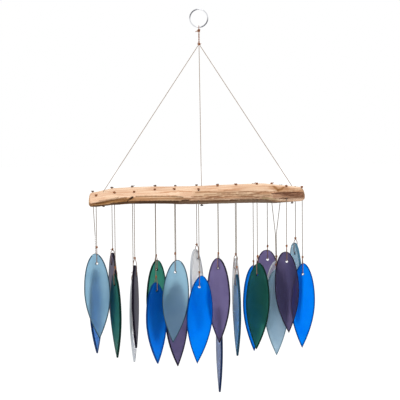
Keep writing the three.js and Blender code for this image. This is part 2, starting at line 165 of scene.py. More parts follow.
strength = add(tree, "MapRange", {0: seen_directly(tree), 3: AMBIENT, 4: 1.0})
white = add(tree, "Background", {"Color": (1, 1, 1, 1), "Strength": strength.outputs[0]})
add(tree, "OutputWorld", {"Surface": white.outputs[0]})
print("world strength", AMBIENT, "as a lamp, 1 where it is seen")

# %% [markdown]
# ## The floor
# A pale floor lies well below the lowest leaf and catches the chime's soft shadow. It has a
# little light of its own for rays that look straight at it, so that it is as white as the room
# where no shadow falls.

# %% Make the floor
FLOOR_Z = -950 * MM
FLOOR_SIZE = 30.0  # metres, so that its edges stay out of the picture
FLOOR_LIFT = 0.14  # light added where the floor is looked at


def to_object(name, bm):
    """An object in the scene with the shape of a bmesh."""
    mesh = bpy.data.meshes.new(name)
    bm.to_mesh(mesh)
    bm.free()
    return put_in_scene(name, mesh)


bm = bmesh.new()
bmesh.ops.create_grid(bm, x_segments=4, y_segments=4, size=FLOOR_SIZE / 2)
bmesh.ops.translate(bm, verts=bm.verts, vec=(0, 0, FLOOR_Z))
floor = to_object("studio_floor", bm)
floor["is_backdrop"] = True

paint, tree = new_material("matt_white_paint")
lift = add(tree, "MapRange", {0: seen_directly(tree), 3: 0.0, 4: FLOOR_LIFT})
glow = add(tree, "Emission", {"Color": (1, 1, 1, 1), "Strength": lift.outputs[0]})
matt = add(tree, "BsdfDiffuse", {"Color": colour("#f4f4f4")})
both = add(tree, "AddShader", {0: glow.outputs[0], 1: matt.outputs[0]})
add(tree, "OutputMaterial", {"Surface": both.outputs[0]})
floor.data.materials.append(paint)
print("the floor is", round((cad_box[0][2] - FLOOR_Z) / MM), "mm below the lowest tip")

# %% [markdown]
# ## The lamp
# One big soft lamp, high in front of the chime, brightens the top of the bar and leaves its
# underside in shade, as in the picture. A sun lamp lights everything evenly, and a wide angle
# makes its shadows soft.

# %% Add the lamp
LAMP_STRENGTH = 1.6
LAMP_WIDTH = math.radians(50)  # how wide the lamp looks from the chime
LAMP_LEAN = math.radians(32)  # from straight above towards the camera
LAMP_TURN = math.radians(-12)  # and a little to the left

lamp = put_in_scene("soft_lamp", bpy.data.lights.new("soft_lamp", "SUN"))
lamp.data.energy = LAMP_STRENGTH
lamp.data.angle = LAMP_WIDTH
lamp.rotation_euler = (LAMP_LEAN, 0, LAMP_TURN)
print("lamp energy", lamp.data.energy)

# %% [markdown]
# ## What hangs where
# The bar has two rows of drilled holes. One line of this table describes one pendant: a cord and
# the glass leaf on it. The numbers are the same as in the measured model.

# %% The pendants
BAR_LENGTH = 282
BAR_DROP = 241.8
BAR_OFFSET = -4.9
ROW_OFFSET = 12.5
BEND_DROP = 54
CORD = 1.0
GLASS_THICKNESS = 3.0
LEAF_HOLE = 3.4
SEAT = 0.3  # room left where one piece rests on another

# Place along the bar from -1 to 1, stagger across it, drop to where the cord goes through the
# glass. The leaf's length, width and inset of its hole, the knot's height above the hole, the
# leaf's turn in degrees, the offset of its hole, how full its crown is, and its glass. Where the
# cord has a bend, also its place and how far it shifts what hangs below it.
FRONT_ROW = [
    (-0.935, 0, 87.4, 113, 34.5, 13.3, 20.5, 0, 1.5, 0.5, "pale_blue"),
    (-0.764, 0, 116.1, 111, 33, 15, 22.4, -65, 2, 0.56, "green"),
    (-0.582, 0, 104.4, 110, 33.5, 14.5, 22.5, 80, 1, 0.56, "purple"),
    (-0.388, 3.5, 125, 108, 34, 11.5, 18, 42, 0.8, 0.56, "cobalt"),
    (-0.207, -1.5, 99.6, 109.8, 35, 16.2, 23.6, 0, -2.4, 0.5, "pale_blue"),
    (0.016, -7.5, 118.9, 116.6, 34, 15.3, 18.4, 4, -2.5, 0.54, "cobalt"),
    (0.194, -0.5, 94.9, 112.5, 33.5, 13.4, 18.2, -26, 0.5, 0.5, "purple"),
    (0.365, -1.5, 117.5, 108.3, 34, 14.5, 22.8, -77, 0, 0.56, "pale_blue"),
    (0.558, -3.5, 103.9, 114.5, 34.5, 15.8, 23.3, -30, -1.5, 0.54, "green"),
    (0.697, 4.5, 113.9, 114, 32.5, 15, 20.5, 0, 0, 0.56, "pale_blue", (4.85, 7.45), (5.2, 4.6)),
    (0.829, -5.5, 86.7, 107.5, 31.8, 13.1, 19.4, 4, 1.4, 0.42, "purple"),
    (0.979, 2.5, 104.2, 112.2, 32.6, 14.4, 21.3, 8, -0.8, 0.55, "cobalt"),
]
BACK_ROW = [
    (-0.975, 0, 112.1, 112.9, 34, 14.5, 21, 66, 0.6, 0.54, "cobalt", (2.2, 0), (2.2, 0)),
    (-0.798, 0, 91, 112.5, 33, 15.2, 18.6, -70, 0, 0.46, "purple"),
    (-0.606, 0, 124.7, 112.5, 33.5, 14.7, 20.6, 77, 0, 0.54, "clear"),
    (-0.389, 0, 98.9, 112.5, 33.5, 13, 17.8, 40, -1.2, 0.54, "green"),
    (-0.202, 4, 130.9, 114.5, 34, 15.6, 20.5, 31, 0.6, 0.56, "purple"),
    (-0.004, -0.5, 85.5, 112, 34, 14.5, 18.4, 61, 4.2, 0.5, "clear"),
    (0.199, 0, 164.6, 114.1, 33.5, 14.5, 20.5, -79, 0, 0.56, "periwinkle"),
    (0.36, 1.5, 99.5, 112.5, 34, 14.6, 18.6, -77, 0, 0.5, "clear"),
    (0.527, -0.5, 108.9, 115.5, 29.5, 14.8, 18.6, -14, 0, 0.54, "cobalt"),
    (0.662, 6.5, 87.8, 109, 34.5, 13.1, 17, 0, 1.1, 0.42, "purple"),
    (0.779, -3.5, 102.3, 111, 32, 14.6, 19, 6, 0, 0.54, "clear", (-5.65, -8.45), (-5.3, -5.6)),
    (0.924, 0, 79.5, 108.8, 33, 14.6, 19.3, -65, 2.4, 0.46, "pale_blue"),
]
FIELDS = (
    "place", "stagger", "drop", "length", "width", "inset", "knot", "turn", "offset", "crown",
    "glass", "bend", "shift",
)  # fmt: skip


def along_bar(share):
    """x at a share of half the bar's length from its middle."""
    return BAR_OFFSET + share * BAR_LENGTH / 2


pendants = []
for label, side, rows in (("front", -1, FRONT_ROW), ("back", 1, BACK_ROW)):
    for number, row in enumerate(rows, 1):
        leaf = dict(zip(FIELDS, (*row, None, (0, 0))))  # most rows have no bend and no shift
        leaf["name"] = label + "_" + str(number)
        leaf["x"] = along_bar(leaf["place"])
        leaf["y"] = side * ROW_OFFSET + leaf["stagger"]
        shift_x, shift_y = leaf["shift"]
        leaf["hang"] = Vector((leaf["x"] + shift_x, leaf["y"] + shift_y, -BAR_DROP - leaf["drop"]))
        pendants.append(leaf)
print(len(pendants), "pendants")

# %% [markdown]
# ## A tool for cord
# Waxed cotton cord is three yarns laid round each other, which gives it a fine rope twist. Blender
# can run a small three-lobed outline along a path and turn it as it goes: that is a curve with a
# bevel object and a growing tilt. The curve is then made a mesh. One turn of the twist is about
# three cord widths long on real cord.

# %% Helpers for paths and cord
CORD_SIDES = 12
LOBE_DEPTH = 0.13  # share of the radius
TWIST_LENGTH = 4.8  # mm for one turn of the yarns
LONGEST_STEP = TWIST_LENGTH / 8

yarn_outline = bpy.data.curves.new("yarn_outline", "CURVE")
outline = yarn_outline.splines.new("POLY")
outline.points.add(CORD_SIDES - 1)
outline.use_cyclic_u = True
for i, point in enumerate(outline.points):
    angle = 2 * math.pi * i / CORD_SIDES
    reach = 1 + LOBE_DEPTH * math.cos(3 * angle) - LOBE_DEPTH / 2
    point.co = (reach * math.cos(angle), reach * math.sin(angle), 0, 1)


def smooth_path(corners, step=1.0):
    """Points about a step apart on a smooth line through the corners, all in mm."""
    corners = [Vector(c) for c in corners]
    ends = [2 * corners[0] - corners[1], *corners, 2 * corners[-1] - corners[-2]]
    path = []
    for a, b, c, d in zip(ends, ends[1:], ends[2:], ends[3:]):
        parts = max(1, round((c - b).length / step))
        for i in range(parts):
            t = i / parts
            point = 2 * b + (c - a) * t
            point += (2 * a - 5 * b + 4 * c - d) * t * t
            point += (3 * b - a - 3 * c + d) * t**3
            path.append(0.5 * point)
    return [*path, corners[-1]]


def path_length(path):
    """Length of a path of points."""
    return sum((b - a).length for a, b in zip(path, path[1:]))


def in_short_steps(path):
    """The same path in steps that are short enough for the twist to stay round."""
    fine = [path[0]]
    for a, b in zip(path, path[1:]):
        parts = math.ceil((b - a).length / LONGEST_STEP)
        fine += [a.lerp(b, k / parts) for k in range(1, parts + 1)]
    return fine


def finished_mesh(piece):
    """The mesh that Blender shows for a piece, with its bevel or its modifiers applied."""
    bpy.context.view_layer.update()
    depsgraph = bpy.context.evaluated_depsgraph_get()
    return bpy.data.meshes.new_from_object(piece.evaluated_get(depsgraph))


def twisted_cord(name, paths, diameter, material, start_turn=0.0):
    """One mesh of cord along one or more paths of points in mm."""
    shape = yarn_outline.copy()
    profile = bpy.data.objects.new("yarn_profile", shape)
    for point in shape.splines[0].points:
        point.co = (*(Vector(point.co[:3]) * diameter / 2 * MM), 1)
    run = bpy.data.curves.new(name, "CURVE")
    run.dimensions = "3D"
    run.bevel_mode = "OBJECT"
    run.bevel_object = profile
    run.use_fill_caps = True
    for path in map(in_short_steps, paths):
        spline = run.splines.new("POLY")
        spline.points.add(len(path) - 1)
        travelled = 0.0
        for i, (point, place) in enumerate(zip(spline.points, path)):
            travelled += (path[i] - path[i - 1]).length if i else 0
            point.co = (*(place * MM), 1)
            point.tilt = start_turn + 2 * math.pi * travelled / TWIST_LENGTH
    route = put_in_scene(name + "_route", run)
    mesh = finished_mesh(route)
    mesh.name = name
    for old in (route, profile):
        bpy.data.objects.remove(old)
    mesh.polygons.foreach_set("use_smooth", [True] * len(mesh.polygons))
    mesh.materials.clear()
    mesh.materials.append(material)
    return put_in_scene(name, mesh)


print("yarn outline:", len(outline.points), "points")

# %% [markdown]
# ## Waxed cotton
# The cord is plain cotton drawn through brown wax. The yarns catch the light on their crowns and
# stay dark in the grooves between them, and the wax darkens in places. Where it is pulled into a
# knot the wax gathers, so the knots look more orange than the straight lines do.


# %% Cord materials
def waxed_cotton(name, pale, dark, roughness):
    """Cotton yarn drawn through wax: patches of wax a few mm long, and fine fibres."""
    material, tree = new_material(name)
    place = add(tree, "TexCoord", {}).outputs["Object"]
    patches = add(tree, "TexNoise", {"Vector": place, "Scale": 1 / (4 * MM), "Detail": 3.0})
    fibres = add(tree, "TexNoise", {"Vector": place, "Scale": 1 / (0.35 * MM), "Detail": 2.0})
    waxed = {0: patches.outputs[0], 6: colour(pale), 7: colour(dark)}
    mix = add(tree, "Mix", waxed, data_type="RGBA")
    fuzz = add(tree, "Bump", {"Strength": 0.35, "Distance": 0.1 * MM, "Height": fibres.outputs[0]})
    cotton = add(
        tree,
        "BsdfPrincipled",
        {
            "Base Color": mix.outputs[2],
            "Roughness": roughness,
            "Sheen Weight": 0.1,
            "Sheen Roughness": 0.5,
            "Normal": fuzz.outputs[0],
        },
    )
    add(tree, "OutputMaterial", {"Surface": cotton.outputs[0]})
    return material


strand_cotton = waxed_cotton("waxed_cotton_strand", "#998876", "#67584a", 0.8)
loop_cotton = waxed_cotton("waxed_cotton_loop", "#a07a66", "#6b4a3c", 0.75)
knot_cotton = waxed_cotton("waxed_cotton_knot", "#b9753e", "#6b3a1c", 0.7)
grey_knot_cotton = waxed_cotton("bleached_cotton_knot", "#8b7668", "#54433a", 0.8)
# Two darker cottons for knots under the bar: dark brown and near black
dark_knot_cotton = waxed_cotton("dark_brown_cotton_knot", "#6b5646", "#4a3a2c", 0.8)
black_knot_cotton = waxed_cotton("near_black_cotton_knot", "#3a2a20", "#261a12", 0.7)
bridle_cotton = waxed_cotton("unwaxed_cotton_line", "#ae957c", "#86705c", 0.8)
print("cord materials:", strand_cotton.name, knot_cotton.name, bridle_cotton.name)

# %% [markdown]
# ## The bar's main shape
# The cords need to know where the wood is, so the bar's shape is worked out before it is made.
# Its section is a rounded rectangle that changes along the grain: thicker to the right, tapered at
# both cut ends, and with its back edge raised on the left.

# %% The bar's section anywhere along it
BAR_DEPTH = 46.4
BAR_THICKNESS = 25
BAR_SQUARENESS = 2.6
STOPPER_RADIUS = 1.9
STOPPER_HEIGHT = 2.6

# place, middle height, depth, thickness, slope of the back edge
BAR_STATIONS = [
    (-1.0, -4.9, 0.8, 0.45, 0.15),
    (-0.985, -5.3, 0.88, 0.55, 0.17),
    (-0.93, -4.8, 0.93, 0.6, 0.17),
    (-0.8, -1.7, 0.97, 0.64, 0.2),
    (-0.6, -0.2, 0.99, 0.6, 0.22),
    (-0.39, 0.0, 0.98, 0.68, 0.19),
    (-0.18, -0.6, 1.0, 0.83, 0.08),
    (0.03, -0.6, 0.98, 0.92, 0.02),
    (0.25, 0.2, 0.98, 0.97, -0.04),
    (0.46, 0.9, 0.99, 0.98, -0.1),
    (0.62, 1.0, 1.0, 0.97, -0.16),
    (0.73, -0.1, 0.98, 0.91, -0.17),
    (0.86, -0.5, 0.95, 0.8, -0.15),
    (0.96, -0.6, 0.9, 0.72, -0.11),
    (0.99, -1.5, 0.82, 0.56, -0.06),
    (1.0, -2.4, 0.76, 0.35, -0.04),
]


def bar_section(x):
    """Middle height, half depth, half thickness and slope of the bar at x."""
    place = min(1, max(-1, 2 * (x - BAR_OFFSET) / BAR_LENGTH))
    after = next(i for i, s in enumerate(BAR_STATIONS) if i and s[0] >= place)
    a, b = BAR_STATIONS[after - 1], BAR_STATIONS[after]
    share = (place - a[0]) / (b[0] - a[0])
    middle, depth, thickness, slope = (p + (q - p) * share for p, q in zip(a[1:], b[1:]))
    return middle - BAR_DROP, depth * BAR_DEPTH / 2, thickness * BAR_THICKNESS / 2, slope


def bar_surface(x, y, side):
    """Height of the bar's upper (side 1) or lower (side -1) face above or below a point."""
    middle, depth, thickness, slope = bar_section(x)
    across = min(1, abs(y) / depth) ** BAR_SQUARENESS
    return middle + slope * y + side * thickness * (1 - across) ** (1 / BAR_SQUARENESS)


def stopper_height(x, y, side):
    """Height of the middle of a stopper knot that rests on the bar (side 1) or holds under it."""
    rise = [
        bar_surface(x + dx, y + dy, side) - bar_surface(x - dx, y - dy, side)
        for dx, dy in ((STOPPER_RADIUS, 0), (0, STOPPER_RADIUS))
    ]
    slope = math.hypot(*rise) / (2 * STOPPER_RADIUS)
    reach = math.hypot(STOPPER_HEIGHT / 2, slope * STOPPER_RADIUS)
    return bar_surface(x, y, side) + side * (reach + SEAT * math.hypot(1, slope))


print("the bar's top in the middle is at", round(bar_surface(0, 0, 1), 1), "mm")

# %% [markdown]
# ## Knots
# Each pendant's cord ends in an overhand knot on top of the bar, and has another above its leaf. An
# overhand knot is a cord that crosses itself three times, which is the trefoil curve, cut open.
# Its cut end sticks out as a short stub, on each knot in another direction, as it fell when the
# knot was tied by hand. Dice choose these directions, always the same ones.

# %% Helpers for knots
KNOT_POINTS = 40
KNOT_OPENING = 0.35  # radians of the trefoil that are left out on each side of the cut
CORD_ROOM = 0.55  # mm of the knot's size that the cord's own half width takes up
dice = random.Random(24)


def overhand_knot(centre, radius, height, spin, tail_angle, tail_length, tail_rise):
    """Points of a pulled-tight overhand knot, with one cut end that sticks out."""
    points = []
    for i in range(KNOT_POINTS + 1):
        t = KNOT_OPENING + (2 * math.pi - 2 * KNOT_OPENING) * i / KNOT_POINTS
        flat = Vector((math.sin(t) + 2 * math.sin(2 * t), math.cos(t) - 2 * math.cos(2 * t)))
        flat *= (radius - CORD_ROOM) / 3
        rise = -math.sin(3 * t) * (height / 2 - CORD_ROOM)
        points.append(Vector((flat.x, flat.y, rise)))
    turn = Matrix.Rotation(spin, 3, "Z")
    points = [centre + turn @ p for p in points]
    out = Vector((math.cos(tail_angle), math.sin(tail_angle), 0))
    root = centre + out * (radius - CORD_ROOM)
    tip = root + out * tail_length * math.cos(tail_rise)
    tip.z += tail_length * math.sin(tail_rise)
    tail = smooth_path([centre, root, tip], 0.8)
    return points, tail


print("an overhand knot has", KNOT_POINTS + 1, "points")

# %% [markdown]
# ## The bridle
# Three thin lines hold the bar: from one knot under the hanger they run down to the left end, the
# middle and the right end, through the bar, and stop in a knot underneath. The bar's weight pulls
# them straight, so each is a straight path with one bend at its hole.

# %% Make the bridle lines
BRIDLE_CORD = 0.9
BRIDLE_PLACES = {"left": -0.872, "centre": 0.044, "right": 0.889}
RING_DIAMETER = 25
RING_WIRE = 1.6
RING_PITCH = 2.05
RING_TO_KNOT = 3.7
HANGER_CORD_LENGTH = 17.5
HANGER_KNOT_RADIUS = 2.2
RING_BOTTOM_Z = RING_WIRE - RING_DIAMETER
UPPER_KNOT_Z = RING_BOTTOM_Z - RING_TO_KNOT
LOWER_KNOT_Z = UPPER_KNOT_Z - HANGER_CORD_LENGTH
MOUTH_BEND = 1.5  # a line bends within this length on both sides of its hole's mouth

# How far each knot hangs below the bar's lower face, and its cotton
BRIDLE_KNOTS = {
    "left": (1.2, dark_knot_cotton),
    "centre": (0.3, black_knot_cotton),
    "right": (0, grey_knot_cotton),
}

for side, share in BRIDLE_PLACES.items():
    x = along_bar(share)
    apex = Vector((0, 0, LOWER_KNOT_Z))
    mouth = Vector((x, 0, bar_surface(x, 0, 1) + BRIDLE_CORD))
    under = Vector((x, 0, stopper_height(x, 0, -1)))
    top = apex + (mouth - apex).normalized() * (HANGER_KNOT_RADIUS + SEAT)
    inside = mouth - Vector((0, 0, MOUTH_BEND))
    line = smooth_path([top, mouth + (top - mouth).normalized() * MOUTH_BEND], 4)
    line += smooth_path([mouth, inside, under], 2)
    piece = twisted_cord("bridle_line_" + side, [line], BRIDLE_CORD, bridle_cotton)
    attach(piece, "bar")
    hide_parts("bridle_cord_" + side)
    drop, cotton = BRIDLE_KNOTS[side]
    knot, tail = overhand_knot(
        under - Vector((0, 0, drop)),
        STOPPER_RADIUS,
        STOPPER_HEIGHT,
        spin=dice.uniform(0, 6),
        tail_angle=dice.uniform(0, 6),
        tail_length=1.4,
        tail_rise=-0.6,
    )
    stop = twisted_cord("bridle_knot_" + side, [knot, tail], BRIDLE_CORD, cotton)
    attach(stop, "bar")
    print("bridle line", side, round(path_length(line)), "mm")

# %% [markdown]
# ## The pendants' cords
# Each cord starts in its stopper knot on the bar, drops through its hole and hangs straight to the
# knot above its leaf. Two neighbours on the right cling together lower down and run side by side,
# and the cord at the far left leans a little before it hangs straight, so these three have a bend.

# %% Make the pendants' cords and stopper knots
CLING_BEND = 3  # a bent cord bends within this length on both sides of its bend

for leaf in pendants:
    x, y = leaf["x"], leaf["y"]
    seat = Vector((x, y, stopper_height(x, y, 1)))
    mouth = Vector((x, y, bar_surface(x, y, -1)))
    knot = leaf["hang"] + Vector((0, 0, leaf["knot"]))
    leaf["mouth"], leaf["knot_at"] = mouth, knot
    if leaf["bend"]:
        bend = Vector((x + leaf["bend"][0], y + leaf["bend"][1], -BAR_DROP - BEND_DROP))
        below = mouth - Vector((0, 0, CORD))
        into, out = (below - bend).normalized(), (knot - bend).normalized()
        line = smooth_path([seat, below], 2)[:-1]
        line += smooth_path([below, bend + into * CLING_BEND], 2)
        line += smooth_path([bend, bend + out * CLING_BEND, knot], 2)
    else:
        line = smooth_path([seat, knot], 2)
    strand = twisted_cord("strand_" + leaf["name"], [line], CORD, strand_cotton, dice.uniform(0, 6))
    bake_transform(strand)
    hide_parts("cord_" + leaf["name"])
    loops, tail = overhand_knot(
        seat,
        STOPPER_RADIUS,
        STOPPER_HEIGHT,
        spin=dice.uniform(0, 6),
        tail_angle=dice.uniform(0, 6),
        tail_length=dice.uniform(0.8, 2.2),
        tail_rise=dice.uniform(0.1, 0.9),
    )
    wax = grey_knot_cotton if y > 0 else knot_cotton
    stop = twisted_cord("stopper_" + leaf["name"], [loops, tail], CORD, wax)
    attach(stop, "bar")
    leaf["strand"], leaf["stopper"], leaf["line"] = strand, stop, line
print(len(pendants), "strands, from", round(min(path_length(p["line"]) for p in pendants)), "mm long")

# %% [markdown]
# ## The loops that carry the leaves
# Below its lower knot the cord goes down one face of the glass, in through the drilled hole and up
# the other face. Seen edge on, that is a narrow loop. It turns with the leaf's face.

# %% Make the leaf knots and loops
LEAF_KNOT_RADIUS = 1.7
LEAF_KNOT_HEIGHT = 3.7
TIGHT_CORD = 0.9 * CORD  # pulled tight, the cord in a knot is thinner
TIGHTER = 0.2  # and the knot a little smaller than the measured one
HOLE_DROP = LEAF_HOLE / 2 - CORD / 2 - SEAT  # from the cord in a hole down to the hole's middle

for leaf in pendants:
    face = GLASS_THICKNESS / 2 + SEAT + CORD / 2
    rim = SEAT + CORD / 2
    top = leaf["inset"] - HOLE_DROP
    half = [
        (0, leaf["knot"]),
        (0.7, leaf["knot"] - LEAF_KNOT_RADIUS),
        (face, min(top + SEAT, leaf["knot"] - LEAF_KNOT_RADIUS - 0.6)),
        (face, rim + 0.4 * CORD),
        (face - 0.15 * CORD, rim - 0.4 * CORD),
        (face - 0.7 * CORD, rim - 0.85 * CORD),
        (0, rim - 0.9 * CORD),
    ]
    route = half + [(-across, up) for across, up in half[-2::-1]]
    turn = Matrix.Rotation(math.radians(leaf["turn"]), 3, "Z")
    loop = [leaf["hang"] + turn @ Vector((0, -across, up)) for across, up in route]
    turns, tail = overhand_knot(
        leaf["knot_at"],
        LEAF_KNOT_RADIUS - TIGHTER,
        LEAF_KNOT_HEIGHT,
        spin=dice.uniform(0, 6),
        tail_angle=dice.uniform(0, 6),
        tail_length=dice.uniform(0.9, 2.0),
        tail_rise=dice.uniform(-0.4, 1.1),
    )
    piece = twisted_cord("loop_" + leaf["name"], [smooth_path(loop, 0.9)], CORD, loop_cotton)
    knot = twisted_cord("leaf_knot_" + leaf["name"], [turns, tail], TIGHT_CORD, knot_cotton)
    for part in (piece, knot):
        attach(part, "line_" + leaf["name"])
print("loops for", len(pendants), "leaves")

# %% [markdown]
# ## Frosted glass
# The leaves are cut from coloured sheet glass and etched or tumbled until they are matt, like
# glass from a beach. Light still comes through, but every tiny pit scatters it, so a leaf glows
# evenly and whatever hangs behind it shows as a soft darker shape. In Blender that is a rough
# transmission shader with some plain matt colour mixed in for the etched skin. How much of it
# is transmission is the sheet's clearness, and a milky sheet has less. A leaf also carries a
# shade from 0 to 1 that deepens its tint: partly the sheet's own variation, partly painted shade
# for leaves turned edge on or hanging behind others. Its ground rim gets a dark tint, painted
# shade for the light lost where the eye looks along the sheet instead of through it.

# %% Glass materials
# How strongly the painted shade of the ground rim covers the glass's tint
RIM_DARKNESS = 0.95


def frosted_glass(name, sheet, thin, deep, painted_rim_shade, clearness=0.8):
    """Etched sheet glass: an even tint with faint clouds, fine pits, and a ground rim in painted shade."""
    material, tree = new_material(name)
    place = add(tree, "TexCoord", {}).outputs["Object"]
    clouds = add(tree, "TexNoise", {"Vector": place, "Scale": 1 / (22 * MM), "Detail": 2.0})
    pits = add(tree, "TexNoise", {"Vector": place, "Scale": 1 / (0.7 * MM), "Detail": 3.0})
    cloud = add(tree, "MapRange", {0: clouds.outputs[0], 1: 0.35, 2: 0.65}).outputs[0]
    cloudy = add(tree, "Mix", {0: cloud, 6: colour(sheet), 7: colour(thin)}, data_type="RGBA").outputs[2]
    shade = add(tree, "Attribute", {}, attribute_name="shade").outputs["Fac"]
    # shade mixes towards the deep tint: partly the sheet's own variation, partly painted shade
    shaded = add(tree, "Mix", {0: shade, 6: cloudy, 7: colour(deep)}, data_type="RGBA").outputs[2]
    # The ground rim is painted dark: painted shade for the light lost along the sheet's edge
    rim = add(tree, "Attribute", {}, attribute_name="rim").outputs["Fac"]
    edge = add(tree, "MapRange", {0: rim, 4: RIM_DARKNESS}).outputs[0]
    tinted = add(tree, "Mix", {0: edge, 6: shaded, 7: colour(painted_rim_shade)}, data_type="RGBA")
    clear = add(tree, "MapRange", {0: rim, 3: clearness, 4: 0.0})
    frost = add(tree, "Bump", {"Strength": 0.2, "Distance": 0.06 * MM, "Height": pits.outputs[0]})
    glass = add(
        tree,
        "BsdfPrincipled",
        {
            "Base Color": tinted.outputs[2],
            "Roughness": 0.45,
            "IOR": 1.45,
            "Specular IOR Level": 0.08,
            "Specular Tint": colour(sheet),
            "Transmission Weight": clear.outputs[0],
            "Normal": frost.outputs[0],
        },
    )
    add(tree, "OutputMaterial", {"Surface": glass.outputs[0]})
    return material


# Each sheet's own tint, its tint where it is thin, at its deepest shade, which is partly painted
# shade, the painted shade of its ground rim, and for milky sheets their clearness
SHEETS = {
    "pale_blue": ("#96bfd6", "#a4cbdf", "#3f80ac", "#16303f"),
    "ice_blue": ("#a6c6dc", "#b3d0e3", "#86a6b8", "#5f7c8a", 0.4),
    "sky_blue": ("#b4dcf2", "#bfe4f8", "#8fbfdc", "#4a7890", 0.4),
    # dark_purple is painted shade for a purple leaf turned edge on
    "dark_purple": ("#3a3450", "#3f3958", "#35304a", "#17131d", 0.3),
    "steel_blue": ("#78c0f0", "#84c8f4", "#5fa8dc", "#16303f"),
    "faded_cobalt": ("#3f8ae0", "#4c95ea", "#1d4f96", "#0a2450"),
    "cobalt": ("#0080fb", "#048aff", "#154f9f", "#0a3474"),
    "green": ("#388874", "#459681", "#114a46", "#071d19"),
    "purple": ("#746a95", "#7e749f", "#241f36", "#17131d"),
    "clear": ("#fdfdfe", "#ffffff", "#d5d8dc", "#c9cdd2"),
    "periwinkle": ("#7089bd", "#8099c8", "#4f6391", "#121f40"),
}
GLASS = {tint: frosted_glass("etched_glass_" + tint, *sheet) for tint, sheet in SHEETS.items()}
print("glass:", ", ".join(GLASS))

# %% [markdown]
# ## The outline of a leaf
# The glass is cut to a pointed oval: widest a little above its middle, full at the crown and drawn
# out to the tip. Two short formulas give that outline, one on each side of the widest place. The
# hole isn't quite on the middle line of every leaf, so the leaf leans until its balance point
# hangs under the hole.

# %% Outline and lean
LEAF_SHOULDER = 0.46  # the widest place, as a share of the length
LEAF_TAPER = 1.88
BALANCE_STRIPS = 200


def half_width(leaf, s):
    """Half width of a leaf at a share s of its length."""
    if s < LEAF_SHOULDER:
        t = 1 - s / LEAF_SHOULDER
        return leaf["width"] / 2 * (1 - t * t) ** leaf["crown"]
    u = (s - LEAF_SHOULDER) / (1 - LEAF_SHOULDER)
    return leaf["width"] / 2 * (1 - u**LEAF_TAPER)


def leaf_lean(leaf):
    """How far a leaf leans because its hole is off its middle line."""
    strips = [(i + 0.5) / BALANCE_STRIPS for i in range(BALANCE_STRIPS)]
    area = sum(half_width(leaf, s) for s in strips)
    balance = sum(half_width(leaf, s) * s * leaf["length"] for s in strips) / area
    return math.atan2(leaf["offset"], balance - leaf["inset"] + HOLE_DROP)


most = max(pendants, key=lambda leaf: abs(leaf_lean(leaf)))
print(most["name"], "leans most,", round(math.degrees(leaf_lean(most)), 1), "degrees")

# %% [markdown]
# ## Cutting and grinding a leaf
# A circle pulled to the outline and a smaller circle for the drilled hole are bridged, which gives
# a flat sheet with a hole. Extruding it gives the sheet its thickness, and a bevel rounds the
# edges that were ground by hand.

# %% Cut and grind
OUTLINE_POINTS = 80
CROWN_CROWDING = 1.6  # above 1 the outline's points lie closer together at the crown
HOLE_POINTS = 20
RIM_ROUNDING = 0.8
RIM_BAND = 1.9  # how far in from the outline the ground rim looks dark
HOLE_ROUNDING = 0.3
GRIND_WOBBLE = 0.12  # mm by which the hand-ground outline wanders
OUTLINE_DROP = 0.1  # mm that the whole outline sits lower than the measured one


def glass_sheet(leaf):
    """A flat pointed oval of glass with a drilled hole, lying down, with its crown at zero."""
    bm = bmesh.new()
    outer = bmesh.ops.create_circle(bm, segments=OUTLINE_POINTS, radius=1)["verts"]
    for v in outer:
        turn = math.atan2(v.co.x, v.co.y)
        s = (abs(turn) / math.pi) ** CROWN_CROWDING
        wobble = GRIND_WOBBLE * noise.noise(Vector((turn * 3, leaf["x"], leaf["y"])))
        across = math.copysign(max(0, half_width(leaf, s) - abs(wobble)), turn)
        v.co = (across, -s * leaf["length"] - OUTLINE_DROP, 0)
    hole = bmesh.ops.create_circle(bm, segments=HOLE_POINTS, radius=LEAF_HOLE / 2)["verts"]
    bmesh.ops.translate(bm, verts=hole, vec=(leaf["offset"], -leaf["inset"], 0))
    sheet = bmesh.ops.bridge_loops(bm, edges=bm.edges)["faces"]
    band = bmesh.ops.inset_region(
        bm, faces=sheet, thickness=RIM_BAND, use_boundary=True, use_even_offset=True
    )
    sheet += band["faces"]
    wall = bmesh.ops.extrude_face_region(bm, geom=sheet)["geom"]
    lifted = [v for v in wall if isinstance(v, bmesh.types.BMVert)]
    bmesh.ops.translate(bm, verts=lifted, vec=(0, 0, GLASS_THICKNESS))
    bmesh.ops.translate(bm, verts=bm.verts, vec=(0, 0, -GLASS_THICKNESS / 2))
    bmesh.ops.recalc_face_normals(bm, faces=bm.faces)
    return bm


def round_edges(bm, leaf):
    """Bevels the edges of the outline and, less, those of the hole."""
    centre = Vector((leaf["offset"], -leaf["inset"], 0))
    level = [e for e in bm.edges if abs(e.verts[0].co.z - e.verts[1].co.z) < 0.1]
    sharp = [e for e in level if e.calc_face_angle(0) > 1]
    at_hole = [e for e in sharp if (e.verts[0].co - centre).xy.length < LEAF_HOLE / 2 + 0.1]
    at_rim = [e for e in sharp if e not in at_hole]
    rounded = {"segments": 3, "profile": 0.5, "affect": "EDGES", "clamp_overlap": True, "material": -1}
    bmesh.ops.bevel(bm, geom=at_rim, offset=RIM_ROUNDING, **rounded)
    bmesh.ops.bevel(bm, geom=at_hole, offset=HOLE_ROUNDING, **rounded)


print("a leaf's outline has", OUTLINE_POINTS, "points and its hole", HOLE_POINTS)

# %% [markdown]
# ## Tinting and hanging a leaf
# Two numbers at each point of the mesh steer the material: rim marks the ground edge, which gets
# painted shade, and shade says how deep this leaf's tint is, partly its own and partly painted
# shade. Then the leaf is moved until the cord in its hole is at zero, stood up, leant, turned and
# put in its place.

